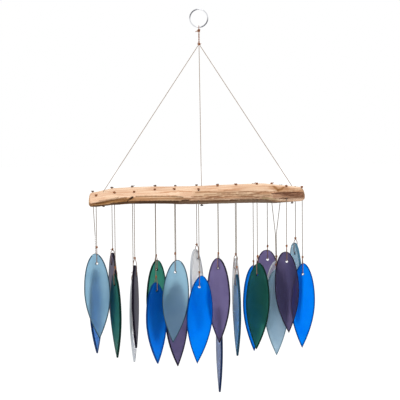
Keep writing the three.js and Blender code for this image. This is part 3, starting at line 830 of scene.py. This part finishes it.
# %% Tint and hang
def mark_tints(bm, leaf):
    """Writes the rim and shade attributes."""
    rim = bm.verts.layers.float.new("rim")
    shade = bm.verts.layers.float.new("shade")
    for v in bm.verts:
        inward = half_width(leaf, min(1, max(0, -v.co.y / leaf["length"]))) - abs(v.co.x)
        # rim marks the ground edge and the walls, where the painted rim shade goes
        v[rim] = 1 if abs(v.co.z) < GLASS_THICKNESS / 2 - 0.01 or inward < 0.7 * RIM_BAND else 0
        v[shade] = leaf["shade"]
    for f in bm.faces:
        f.smooth = abs(f.normal.z) < 0.999


def hang_up(bm, leaf):
    """Puts the leaf, still lying down and in mm, on its cord in metres."""
    bmesh.ops.translate(bm, verts=bm.verts, vec=(-leaf["offset"], leaf["inset"] - HOLE_DROP, 0))
    stand = (
        Matrix.Translation(leaf["hang"])
        @ Matrix.Rotation(math.radians(leaf["turn"]), 4, "Z")
        @ Matrix.Rotation(-leaf_lean(leaf), 4, "Y")
        @ Matrix.Rotation(math.pi / 2, 4, "X")
    )
    bmesh.ops.transform(bm, matrix=Matrix.Scale(MM, 4) @ stand, verts=bm.verts)


# How deep each leaf's tint is, from left to right: partly its sheet, and partly painted shade for
# leaves turned edge on or hanging behind others
SHADES = {
    "front": (0.15, 0.25, 1, 0.2, 0.05, 0, 0, 0.8, 0.25, 0, 0.45, 0),
    "back": (0.0, 0.6, 0, 0, 0.35, 0.2, 0, 0, 0.3, 0.1, 0, 0.1),
}
# A few leaves are cut from another sheet than the rest of their glass; the dark purple sheet of
# front_3 is painted shade for a leaf turned edge on
OTHER_TINTS = {
    "front_3": "dark_purple",
    "front_8": "steel_blue",
    "front_10": "ice_blue",
    "back_12": "sky_blue",
    "back_1": "faded_cobalt",
}
for leaf in pendants:
    row, number = leaf["name"].split("_")
    leaf["shade"] = SHADES[row][int(number) - 1]
    bm = glass_sheet(leaf)
    round_edges(bm, leaf)
    mark_tints(bm, leaf)
    hang_up(bm, leaf)
    piece = to_object("glass_leaf_" + leaf["name"], bm)
    tint = OTHER_TINTS.get(leaf["name"], leaf["glass"])
    piece.data.materials.append(GLASS[tint])
    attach(piece, "glass_" + leaf["name"])
    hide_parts("leaf_" + leaf["name"])
print(len(pendants), "glass leaves of", len(piece.data.polygons), "faces each")

# %% [markdown]
# ## Driftwood
# The bar is a branch that the sea has stripped and worn. Its upper front is smooth and pale. Below
# a long ragged step the softer wood has been eaten away, and the underside is grooved and darker:
# partly brown weathered wood, partly painted shade. The hollows are made in the mesh, because they
# change the outline and catch the light. Each mark also colours the wood, most with a stain and a
# few with painted shade, so its colour goes into an attribute for the material.

# %% Where the wood is worn and stained
# Points are (x, height) in mm on the front. The wood is eaten away below the first line, and it
# turns under the bar below the second, where it gets the underside's painted shade.
WORN_LINE = [
    (-146.8, -253.2), (-141.6, -251.3), (-131.2, -249.2), (-120.7, -247), (-107.6, -244.9),
    (-94.6, -243.2), (-84.1, -243), (-65.9, -243.5), (-33.3, -243.8), (-21.6, -244.9),
    (-5.9, -245.6), (25.4, -246.5), (51.4, -247.4), (80.1, -246.2), (90.6, -247.4),
    (103.6, -249.8), (121.8, -251.3), (137.5, -251.5),
]  # fmt: skip
UNDER_LINE = [
    (-144.2, -253.9), (-126, -252.1), (-115.5, -250.3), (-98.5, -248.2), (-82.9, -247.7),
    (-32, -247.6), (-0.7, -248.3), (20.1, -248.2), (46.2, -247.1), (72.3, -246.7),
    (87.9, -248.6), (98.3, -251.1), (116.6, -252.6), (137.5, -252.8),
]  # fmt: skip
# Colour of the eaten wood, and the underside's painted shade over weathered brown wood, at some
# places along the bar
EATEN_TINTS = [(-140, "#b98f62"), (-90, "#b58a5c"), (-60, "#c4a17c"), (0, "#b18c6c"), (137, "#a5815f")]
UNDERSIDE_SHADE_TINTS = [(-140, "#6a4a2c"), (-60, "#4d3522"), (-20, "#5d4430"), (5, "#78634f"), (137, "#6e5a4a")]
print("worn line over", len(WORN_LINE), "places, under line over", len(UNDER_LINE))

# %% [markdown]
# ## Marks on the wood
# The patches, grooves and cracks that give this branch its face are brush strokes: a soft line
# through two or more points that colours the wood and, where it has a depth, wears it away. Most
# colours are stains; the dark bands along the lower edge are painted shade. One crack at the left
# is darker and deeper than all others, and a small dark hole shows at the right; their near-black
# is painted shade in the hollow.

# %% The marks
# Each mark has a colour, how strong it is, its half width, its depth and its points
MARKS = [
    ("#f2d8aa", 0.6, 3, 0, [(-137, -237.5), (-118, -233)]),
    ("#b08a60", 0.7, 1.0, 0, [(-145.8, -239), (-144.8, -250)]),
    # painted shade: a dark line along the lower left corner
    ("#80572f", 0.9, 1.4, 0, [(-145, -251), (-143, -254.4), (-137, -254.6)]),
    ("#c59b60", 0.8, 1.4, 0, [(-132, -250.6), (-120, -248.9), (-108, -246.9)]),
    ("#c99f66", 0.7, 1.6, 0, [(-112, -249.4), (-101, -248.4), (-96, -247.2)]),
    ("#7d5228", 0.85, 1.2, 1.0,
     [(-142, -251.6), (-131, -249.4), (-120, -247.2), (-107, -244.8), (-97, -243.8)]),
    ("#7c5229", 0.8, 1.1, 0.8,
     [(-136, -251.3), (-123, -249), (-113, -247.4), (-104, -246), (-95, -246.3)]),
    # painted shade: the near-black of the deep pit and the crack from it
    ("#2e1c10", 1.0, 1.4, 3.0, [(-92.2, -245.4), (-90, -243.9), (-88.2, -243)]),
    ("#4a2f17", 0.9, 0.7, 1.4, [(-91.3, -244.6), (-94, -246.8), (-95.6, -248.8)]),
    ("#8b6a45", 0.9, 0.9, 0.8,
     [(-84, -242.2), (-71, -242.1), (-53, -242.4), (-33, -242.6), (-23, -243.6)]),
    ("#dcb98f", 0.6, 1.0, 0, [(-84, -244.2), (-60, -244.4), (-30, -244.6)]),
    # painted shade: dark bands along the lower edge
    ("#4a3018", 0.95, 1.2, 0.5, [(-141, -254.6), (-126, -253.3), (-112, -252.2), (-98, -250.8)]),
    ("#46301e", 0.95, 2.0, 0.4,
     [(-116, -251.6), (-98, -250), (-80, -249.5), (-50, -249.6), (-30, -249.8)]),
    ("#9a7553", 0.7, 0.7, 0.4, [(-32, -245.4), (-16, -245), (-3, -246), (10, -245.5)]),
    ("#4c331e", 0.9, 1.0, 0.5, [(-24.2, -247.8), (-15.1, -247.7)]),
    ("#dfbea0", 0.9, 0.9, 0, [(-12, -246.6), (0, -246.3), (24, -245.6), (50, -246.2)]),
    # painted shade: a dark band low on the front
    ("#6b4d35", 0.8, 1.1, 0.4, [(-14, -249.5), (0, -249.2), (25, -248.8), (46, -248.2)]),
    ("#5e4128", 0.9, 1.2, 0.6,
     [(40, -247.8), (52, -247.4), (67, -246.9), (80, -247.1), (91, -249), (100, -251.6)]),
    ("#d2b08c", 0.6, 6, 0, [(-5, -240), (88, -241.5)]),
    ("#a57e5c", 0.7, 0.8, 0.4, [(-6, -237.7), (10, -236.9), (31, -237.9), (46, -239.1)]),
    ("#a57e5c", 0.7, 0.8, 0.4, [(5, -240.8), (25, -239.9), (49, -241.7), (70, -243.8)]),
    ("#a88160", 0.6, 0.8, 0.3, [(31, -235.6), (57, -236.7), (80, -238.7), (93, -239.1)]),
    ("#9c7757", 0.7, 0.7, 0.4, [(46, -240.7), (67, -241.1), (91, -242.4)]),
    ("#a07b5b", 0.7, 0.7, 0.4, [(51, -244.1), (72, -243.8), (88, -245.5)]),
    ("#e2c2a2", 0.6, 0.7, 0, [(20, -243.8), (45, -244.9), (62, -245.4)]),
    ("#c39d78", 0.75, 5.5, 0, [(103, -236), (134, -237)]),
    ("#b08468", 0.8, 4.8, 0, [(97, -242.8), (110, -242.6)]),
    ("#9f745a", 0.9, 6.2, 0, [(112, -243.2), (137, -243)]),
    ("#c09876", 0.7, 0.6, 0, [(104, -245.2), (120, -244.8), (136, -246.4)]),
    ("#6f5040", 0.9, 0.8, 0.8, [(93, -240.1), (105, -238.9), (119, -238.8), (134, -239.6)]),
    ("#7a5540", 0.7, 0.7, 0.5, [(106, -242.6), (119, -242), (134, -243.1)]),
    ("#7a5540", 0.7, 0.7, 0.5, [(111, -246), (125, -245.4), (135, -245.9)]),
    ("#b5a27b", 0.9, 1.3, -0.5, [(81, -245.6), (91, -246.7), (100, -249), (111, -249.9), (123, -250)]),
    ("#d8b08f", 0.7, 4, 0, [(45, -232), (95, -231)]),
    ("#c39670", 0.75, 4.5, 0, [(93, -231.5), (112, -233.5)]),
    ("#9a8468", 0.7, 1.6, 0, [(112, -251.6), (137, -250.8)]),
    ("#9a6a3a", 0.9, 1.6, 0.5, [(94, -229), (98, -232.5), (101, -235.7)]),
    ("#9a6a3a", 0.9, 1.6, 0.5, [(110, -231.4), (106, -234.1), (101, -236)]),
    # painted shade: the near-black of the small hole
    ("#2b201a", 1.0, 1.2, 1.0, [(135.2, -241), (135.8, -241)]),
]  # fmt: skip
print(len(MARKS), "marks set by hand")

# %% [markdown]
# ## Torn fibres
# Where the soft wood has gone, single fibres stand up as fine lines along the grain. Nobody would
# set them by hand, so dice throw them: each row below is a kind of fibre with the stretch of
# bar it grows in. They are marks like the others, only thinner.

# %% Throw the fibres
# Colour, how strong it is, how many, where along the bar and how high they may start, and how far
# the longest of them climb
FIBRES = [
    ("#a3785a", 0.75, 34, (-14, 84), (-247.5, -237.5), 1.6),
    ("#d09d76", 0.6, 22, (-140, -24), (-243, -233.5), 0.8),
    ("#69422d", 0.8, 12, (96, 122), (-248, -239.5), -0.4),
    ("#8a6238", 0.7, 8, (-142, -104), (-253, -247), 4.5),
]
SHORTEST_FIBRE = 9
LONGEST_FIBRE = 26
FIBRE_DEPTH = 0.35
LAST_FIBRE_X = 137  # no fibre runs past the right end
grain_dice = random.Random(7)

for tint, strength, how_many, starts, heights, climb in FIBRES:
    for _ in range(how_many):
        x, z = grain_dice.uniform(*starts), grain_dice.uniform(*heights)
        run, rise = grain_dice.uniform(SHORTEST_FIBRE, LONGEST_FIBRE), grain_dice.uniform(-0.7, 0.7)
        rise += climb * run / LONGEST_FIBRE
        x_end = min(x + run, LAST_FIBRE_X)
        middle = ((x + x_end) / 2, z + rise / 2 + grain_dice.uniform(-0.5, 0.5))
        points = [(x, z), middle, (x_end, z + rise)]
        MARKS.append((tint, strength, grain_dice.uniform(0.35, 0.6), FIBRE_DEPTH, points))
print(len(MARKS), "marks with the fibres")

# %% [markdown]
# ## How far the wood is worn at a point
# The mesh asks one question for each of its points: how deep is the wood worn here, and what
# stain and painted shade colour it? The answer adds up the furrows of the whole bar, the eaten
# wood, the painted shade of the dark underside and every mark that passes near. Stains and painted
# shade are laid over each other like glazes.

# %% Wear, stain and painted shade at a point
def line_height(points, x):
    """Height of a line through the points at x."""
    for (xa, za), (xb, zb) in zip(points, points[1:]):
        if x <= xb:
            return za + (zb - za) * (x - xa) / (xb - xa)
    return points[-1][1]


def off_line(points, x, z):
    """Distance from (x, z) to a line through the points."""
    least = 1e9
    for (xa, za), (xb, zb) in zip(points, points[1:]):
        run, rise = xb - xa, zb - za
        share = ((x - xa) * run + (z - za) * rise) / (run * run + rise * rise)
        share = min(1, max(0, share))
        least = min(least, math.hypot(x - xa - share * run, z - za - share * rise))
    return least


def ease(low, high, value):
    """0 below low, 1 above high, and smooth in between."""
    t = min(1, max(0, (value - low) / (high - low)))
    return t * t * (3 - 2 * t)


def tint_at(tints, x):
    """The colour between the two tints of a list that are nearest to x."""
    for (xa, tint), (xb, following) in zip(tints, tints[1:]):
        if x <= xb:
            return tint.lerp(following, max(0, (x - xa) / (xb - xa)))
    return tints[-1][1]


def stain_over(stain_and_shade, tint, share):
    """Lay a colour over a stain and painted shade, which is a colour with its own share."""
    under, covered = stain_and_shade
    total = share + covered * (1 - share)
    if total < 1e-4:
        return stain_and_shade
    return under.lerp(tint, share / total), total


def as_vector(tint):
    """A hex code's linear colour as a vector, which can be mixed."""
    return Vector(colour(tint)[:3])


EATEN = [(x, as_vector(tint)) for x, tint in EATEN_TINTS]
PAINTED_UNDERSIDE_SHADE = [(x, as_vector(tint)) for x, tint in UNDERSIDE_SHADE_TINTS]
STROKES = []  # the marks, each with the stretch of bar that it can reach
for tint, strength, wide, deep, points in MARKS:
    reach = 1.6 * wide
    span = (min(x for x, z in points) - reach, max(x for x, z in points) + reach)
    STROKES.append((as_vector(tint), strength, wide, deep, points, span))
SWELLING = 0.45  # the blank is this much fatter, because the wear takes it off again
BACK_SHIFT = 14  # the back has the same kind of wear, the other way round and this far along
BACK_STRENGTH = 0.6  # of the marks there
FURROW_DEPTH = 0.2
EATEN_DEPTH = 0.35
EATEN_FURROW_DEPTH = 0.7
EATEN_RIPPLE = 0.3
FULL_STAIN = 0.9


def wear(p, normal_z):
    """At a point of the bar: how far to wear it back in mm, and its colour of stain and painted shade."""
    x, y, z = p
    if y > 0:
        x = BACK_SHIFT - x
    front_face = 1 - ease(0.75, 0.97, abs(normal_z))
    wander = 0.5 * noise.noise(Vector((x / 13, 3, y / 9)))
    eaten = ease(-0.6, 1.0, line_height(WORN_LINE, x) + wander - z)
    under = ease(-0.5, 1.5, line_height(UNDER_LINE, x) + wander - z)
    furrows = noise.noise(Vector((x / 30, y / 1.7, z / 1.7)))
    ripple = noise.noise(Vector((x / 9, y / 5, z / 5 + 7)))
    hollow = EATEN_DEPTH + EATEN_FURROW_DEPTH * max(0, furrows) + EATEN_RIPPLE * ripple
    depth = FURROW_DEPTH * furrows + eaten * hollow
    stain_and_shade = (tint_at(EATEN, x), FULL_STAIN * eaten)
    # painted shade: the underside gets a dark tint over weathered brown wood
    stain_and_shade = stain_over(stain_and_shade, tint_at(PAINTED_UNDERSIDE_SHADE, x), FULL_STAIN * under)
    for tint, strength, wide, deep, points, span in STROKES:
        if span[0] < x < span[1]:
            ragged = wide * (1 + 0.45 * noise.noise(Vector((x / 2.5, z / 2.5, wide))))
            near = 1 - ease(0.35 * ragged, 1.35 * ragged, off_line(points, x, z))
            near *= front_face * (BACK_STRENGTH if y > 0 else 1)
            depth += deep * near
            stain_and_shade = stain_over(stain_and_shade, tint, strength * near)
    return depth - SWELLING, (*stain_and_shade[0], stain_and_shade[1])


print("wear in the middle of the front:", round(wear((0, -23, -243), 0)[0], 2), "mm")

# %% [markdown]
# ## Making the bar
# A round bar with many slices is enough to start from. Each of its points is moved to the bar's
# real section and then worn back along its normal. The points lie closer together on the front,
# where the wear is finer. Real drill holes are cut last, with a Boolean modifier.

# %% Make the driftwood bar
BAR_SIDES = 140
BAR_SLICES = 400
FRONT_CROWDING = 0.35
END_RINGS = (0.92, 0.85, 0.7, 0.5)  # each ring of a cut end is this share of the last one
END_WEAR = 0.25  # the hard cut ends wear less
HOLE_CLEARANCE = 0.35
DRILL_LENGTH = 60


def shaped_bar():
    """The worn bar, in mm, before it is drilled."""
    bm = bmesh.new()
    bmesh.ops.create_cone(bm, cap_ends=True, segments=BAR_SIDES, radius1=1, radius2=1, depth=2)
    bmesh.ops.rotate(bm, verts=bm.verts, cent=(0, 0, 0), matrix=Matrix.Rotation(math.pi / 2, 3, "Y"))
    long_edges = [e for e in bm.edges if abs(e.verts[0].co.x - e.verts[1].co.x) > 1]
    bmesh.ops.subdivide_edges(bm, edges=long_edges, cuts=BAR_SLICES - 1, use_grid_fill=True)
    for v in bm.verts:
        x = along_bar(v.co.x)
        middle, depth, thickness, slope = bar_section(x)
        angle = math.atan2(v.co.z, v.co.y)
        angle += FRONT_CROWDING * math.sin(angle)
        c, s = math.cos(angle), math.sin(angle)
        y = depth * math.copysign(abs(c) ** (2 / BAR_SQUARENESS), c)
        rise = thickness * math.copysign(abs(s) ** (2 / BAR_SQUARENESS), s)
        v.co = (x, y, middle + slope * y + rise)
    bmesh.ops.recalc_face_normals(bm, faces=bm.faces)
    ends = [f for f in bm.faces if len(f.verts) > 8]
    for end in ends:
        for share in END_RINGS:
            ring = bmesh.ops.extrude_face_region(bm, geom=[end])["geom"]
            bm.faces.remove(end)
            end = next(g for g in ring if isinstance(g, bmesh.types.BMFace))
            about = Matrix.Translation(-end.calc_center_median())
            bmesh.ops.scale(bm, vec=(share, share, share), verts=end.verts, space=about)
    bm.normal_update()
    moves = [(v, -v.normal * wear(v.co, v.normal.z)[0]) for v in bm.verts]
    for v, move in moves:
        v.co += move * (END_WEAR if abs(v.normal.x) > 0.7 else 1)
    return bm


def drills():
    """All the drills in one shape, each a little wider than its cord."""
    bm = bmesh.new()
    holes = [(p["x"], p["y"], CORD) for p in pendants]
    holes += [(along_bar(share), 0, BRIDLE_CORD) for share in BRIDLE_PLACES.values()]
    for x, y, cord in holes:
        radius = cord / 2 + HOLE_CLEARANCE
        bmesh.ops.create_cone(
            bm,
            cap_ends=True,
            segments=16,
            radius1=radius,
            radius2=radius,
            depth=DRILL_LENGTH,
            matrix=Matrix.Translation((x, y, -BAR_DROP)),
        )
    return bm


bar = to_object("driftwood", shaped_bar())
cutter = to_object("drills", drills())
boolean = bar.modifiers.new("drilled", "BOOLEAN")
boolean.operation = "DIFFERENCE"
boolean.solver = "EXACT"
boolean.object = cutter
drilled = finished_mesh(bar)
bar.modifiers.clear()
bpy.data.objects.remove(cutter)
bar.data = drilled
drilled.name = "driftwood"
# This attribute carries the stains and the underside's painted shade
stain_and_shade = drilled.attributes.new("stain_and_shade", "FLOAT_COLOR", "POINT")
stain_and_shade.data.foreach_set("color", [c for v in drilled.vertices for c in wear(v.co, v.normal.z)[1]])
end_grain = drilled.attributes.new("end_grain", "FLOAT", "POINT")
end_grain.data.foreach_set("value", [ease(0.6, 0.9, abs(v.normal.x)) for v in drilled.vertices])
drilled.transform(Matrix.Scale(MM, 4))
drilled.polygons.foreach_set("use_smooth", [True] * len(drilled.polygons))
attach(bar, "bar")
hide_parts("driftwood_bar")
print("driftwood bar:", len(drilled.polygons), "faces")

# %% [markdown]
# ## The wood's finish
# Sun and salt bleach driftwood and leave it dry and matt. The grain runs along the bar: streaks
# a few millimetres apart, with finer ones between, all stretched about fourteen times as long.
# The stain and painted shade from the mesh are laid over the pale wood before the streaks, so
# brown wood has grain too. The cut ends show the year rings round the branch's heart.

# %% Driftwood material
GRAIN_STRETCH = 0.07  # the pattern runs this much slower along the bar
HEART_Z = -252 * MM  # the middle of the year rings, low in the cut end

driftwood, tree = new_material("sea_worn_driftwood")
place = add(tree, "TexCoord", {}).outputs["Object"]
along = add(tree, "Mapping", {"Vector": place, "Scale": (GRAIN_STRETCH, 1, 1)}).outputs[0]
grain = {"Vector": along, "Scale": 1 / (3.2 * MM), "Detail": 5.0, "Roughness": 0.6}
streaks = add(tree, "TexNoise", grain)
fine = add(tree, "TexNoise", {"Vector": along, "Scale": 1 / (0.8 * MM), "Detail": 3.0})
broad = add(tree, "TexNoise", {"Vector": place, "Scale": 1 / (34 * MM), "Detail": 2.0})
stain_and_shade_colour = add(tree, "Attribute", {}, attribute_name="stain_and_shade")
end_share = add(tree, "Attribute", {}, attribute_name="end_grain").outputs["Fac"]
faded = add(tree, "MapRange", {0: broad.outputs[0], 1: 0.4, 2: 0.65}).outputs[0]
pale = {0: faded, 6: colour("#f8d8b9"), 7: colour("#efcbac")}
bleached = add(tree, "Mix", pale, data_type="RGBA").outputs[2]
# The stains and painted shade from the mesh go under the grain
under_grain = {0: stain_and_shade_colour.outputs["Alpha"], 6: bleached, 7: stain_and_shade_colour.outputs["Color"]}
wood = add(tree, "Mix", under_grain, data_type="RGBA").outputs[2]
dark = add(tree, "MapRange", {0: streaks.outputs[0], 1: 0.42, 2: 0.62, 3: 0.0, 4: 0.65}).outputs[0]
with_grain = {0: dark, 6: wood, 7: colour("#cfa88a")}
streaky = add(tree, "Mix", with_grain, data_type="RGBA", blend_type="MULTIPLY").outputs[2]
heart = add(tree, "Mapping", {"Vector": place, "Location": (0, 0, -HEART_Z)}).outputs[0]
years = {"Vector": heart, "Scale": 1 / (7 * MM), "Distortion": 1.5, "Detail": 2.0, "Detail Scale": 1.5}
rings = add(tree, "TexWave", years, wave_type="RINGS", rings_direction="X").outputs["Fac"]
year_tints = {0: rings, 6: colour("#d8b48f"), 7: colour("#a37d59")}
cut_end = add(tree, "Mix", year_tints, data_type="RGBA").outputs[2]
sawn = add(tree, "Mix", {0: end_share, 6: streaky, 7: cut_end}, data_type="RGBA")
fibres = add(tree, "Math", {0: streaks.outputs[0], 1: fine.outputs[0]}, operation="ADD")
relief = add(tree, "Bump", {"Strength": 0.5, "Distance": 0.35 * MM, "Height": fibres.outputs[0]})
dry = add(
    tree,
    "BsdfPrincipled",
    {
        "Base Color": sawn.outputs[2],
        "Roughness": 0.8,
        "Specular IOR Level": 0.2,
        "Normal": relief.outputs[0],
    },
)
add(tree, "OutputMaterial", {"Surface": dry.outputs[0]})
drilled.materials.clear()
drilled.materials.append(driftwood)
print("wood finish:", driftwood.name)

# %% [markdown]
# ## The split ring
# The chime hangs from a small split ring: two turns of springy wire pressed side by side, as on a
# key ring. Spinning one circle of wire round twice, with a little sideways step each time, makes
# both turns in one go.

# %% Make the split ring
RING_SIDES = 20
RING_STEPS = 160
CUT_ROUNDING = 0.25  # on the wire's two cut ends
ring_centre = Vector((0, 0, RING_WIRE - RING_DIAMETER / 2))

bm = bmesh.new()
wire = bmesh.ops.create_circle(bm, segments=RING_SIDES, radius=RING_WIRE / 2)["verts"]
stand_up = Matrix.Rotation(math.pi / 2, 4, "Y")
start = ring_centre + Vector((0, -RING_PITCH, (RING_DIAMETER - RING_WIRE) / 2))
bmesh.ops.transform(bm, matrix=Matrix.Translation(start) @ stand_up, verts=wire)
bmesh.ops.spin(
    bm,
    geom=list(bm.verts) + list(bm.edges),
    cent=ring_centre,
    axis=(0, -1, 0),
    dvec=(0, 2 * RING_PITCH / RING_STEPS, 0),
    angle=4 * math.pi,
    steps=RING_STEPS,
    use_merge=False,
)
bmesh.ops.holes_fill(bm, edges=bm.edges, sides=RING_SIDES)
bmesh.ops.recalc_face_normals(bm, faces=bm.faces)
cut_ends = [e for e in bm.edges if any(len(f.verts) > 4 for f in e.link_faces)]
bmesh.ops.bevel(
    bm, geom=cut_ends, offset=CUT_ROUNDING, segments=2, profile=0.5, affect="EDGES", material=-1
)
for f in bm.faces:
    f.smooth = len(f.verts) == 4
bmesh.ops.scale(bm, vec=(MM, MM, MM), verts=bm.verts)
ring = to_object("split_ring_wire", bm)
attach(ring, "ring")
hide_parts("split_ring")
print("split ring:", len(ring.data.polygons), "faces")

# %% [markdown]
# ## Nickel plate
# Key rings are steel wire with a bright nickel plate. It is smooth enough to mirror the white
# room, with small scuffs from handling. Two stretches across from each other carry a painted dark
# reflection, which the product of the two distances from the middle picks out: it is negative on
# just those two.

# %% Ring material
RING_DROP = RING_DIAMETER / 2 - RING_WIRE  # from the hook down to the middle of the ring
# Between these products the plate gets its painted dark reflection
DARK_REFLECTION_FROM = 20 * MM * MM  # products of the two distances between which the plate darkens
DARK_REFLECTION_TO = -45 * MM * MM

nickel, tree = new_material("nickel_plated_steel")
place = add(tree, "TexCoord", {}).outputs["Object"]
scuffs = add(tree, "TexNoise", {"Vector": place, "Scale": 1 / (1.2 * MM), "Detail": 4.0})
bright = {0: scuffs.outputs[0], 6: colour("#e9e9eb"), 7: colour("#c3c4c9")}
worn_bright = add(tree, "Mix", bright, data_type="RGBA").outputs[2]
from_centre = add(tree, "Mapping", {"Vector": place, "Location": (0, 0, RING_DROP * MM)}).outputs[0]
parts = add(tree, "SeparateXYZ", {"Vector": from_centre}).outputs
sides = add(tree, "Math", {0: parts["X"], 1: parts["Z"]}, operation="MULTIPLY").outputs[0]
# painted reflection: two dark stretches of the plate
painted_dark_reflection = add(tree, "MapRange", {0: sides, 1: DARK_REFLECTION_FROM, 2: DARK_REFLECTION_TO}).outputs[0]
plate_tint = add(tree, "Mix", {0: painted_dark_reflection, 6: worn_bright, 7: colour("#6d6e73")}, data_type="RGBA")
dull = add(tree, "MapRange", {0: scuffs.outputs[0], 1: 0.3, 2: 0.7, 3: 0.12, 4: 0.3})
plate = add(
    tree,
    "BsdfPrincipled",
    {"Base Color": plate_tint.outputs[2], "Metallic": 1.0, "Roughness": dull.outputs[0]},
)
add(tree, "OutputMaterial", {"Surface": plate.outputs[0]})
ring.data.materials.append(nickel)
print("ring finish:", nickel.name)

# %% [markdown]
# ## The hanger
# A loop of cord goes through the ring and into a knot. Below it, two cords twisted together run
# to a second knot, where the bridle starts. The hanging cord is less than 20 mm long.

# %% Make the hanger
HANGER_KNOT_HEIGHT = 4.4
TWIST_STEPS = 60
TWIST_TURNS = 2.5
TWIST_DROP = 14.8  # from the upper knot to where the two cords enter the lower one
TWIST_RADIUS = 0.42  # from the middle of the twist to the middle of each cord
TWIST_CORD = 0.9

side = RING_PITCH / 2 + RING_WIRE / 2 + SEAT + CORD / 2
top = RING_BOTTOM_Z + RING_WIRE + SEAT + CORD / 2
half = [
    (0, UPPER_KNOT_Z),
    (0.6, UPPER_KNOT_Z + HANGER_KNOT_RADIUS * 0.9),
    (1, RING_BOTTOM_Z - SEAT),
    (1, top - CORD),
    (0.66, top),
    (0, top + SEAT / 2),
]
route = half + [(-share, z) for share, z in half[-2::-1]]
over_wire = smooth_path([(0, -share * side, z) for share, z in route], 0.6)
upper = Vector((0, 0, UPPER_KNOT_Z))
knot, tail = overhand_knot(
    upper,
    HANGER_KNOT_RADIUS,
    HANGER_KNOT_HEIGHT,
    spin=0.8,
    tail_angle=math.pi,
    tail_length=3.2,
    tail_rise=-0.46,
)
loop = twisted_cord("hanging_loop_cord", [over_wire, knot, tail], CORD, knot_cotton)
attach(loop, "loop")
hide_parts("hanging_loop")

lower = Vector((0, 0, LOWER_KNOT_Z))
strands = []
for phase in (0, math.pi):
    strand = []
    for i in range(TWIST_STEPS + 1):
        share = i / TWIST_STEPS
        turn = phase + share * 2 * math.pi * TWIST_TURNS
        z = UPPER_KNOT_Z - HANGER_KNOT_RADIUS - SEAT - share * TWIST_DROP
        strand.append(Vector((TWIST_RADIUS * math.cos(turn), TWIST_RADIUS * math.sin(turn), z)))
    strands.append(strand)
knot, tail = overhand_knot(
    lower,
    HANGER_KNOT_RADIUS,
    HANGER_KNOT_HEIGHT,
    spin=2.2,
    tail_angle=0.5,
    tail_length=1.6,
    tail_rise=0.5,
)
doubled = twisted_cord("hanging_cord_twist", [*strands, knot, tail], TWIST_CORD, knot_cotton)
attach(doubled, "hanger")
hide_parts("hanging_cord")
print("hanger from", round(top, 1), "to", round(LOWER_KNOT_Z, 1), "mm")

# %% [markdown]
# ## The size at the end
# The dressed chime has to stay as big as the measured one, so both boxes are printed side by side.

# %% Write the sizes and finish
new_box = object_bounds()
for title, box in (("measured", cad_box), ("dressed", new_box)):
    print(title, [round((b - a) / MM, 1) for a, b in zip(*box)], "mm")
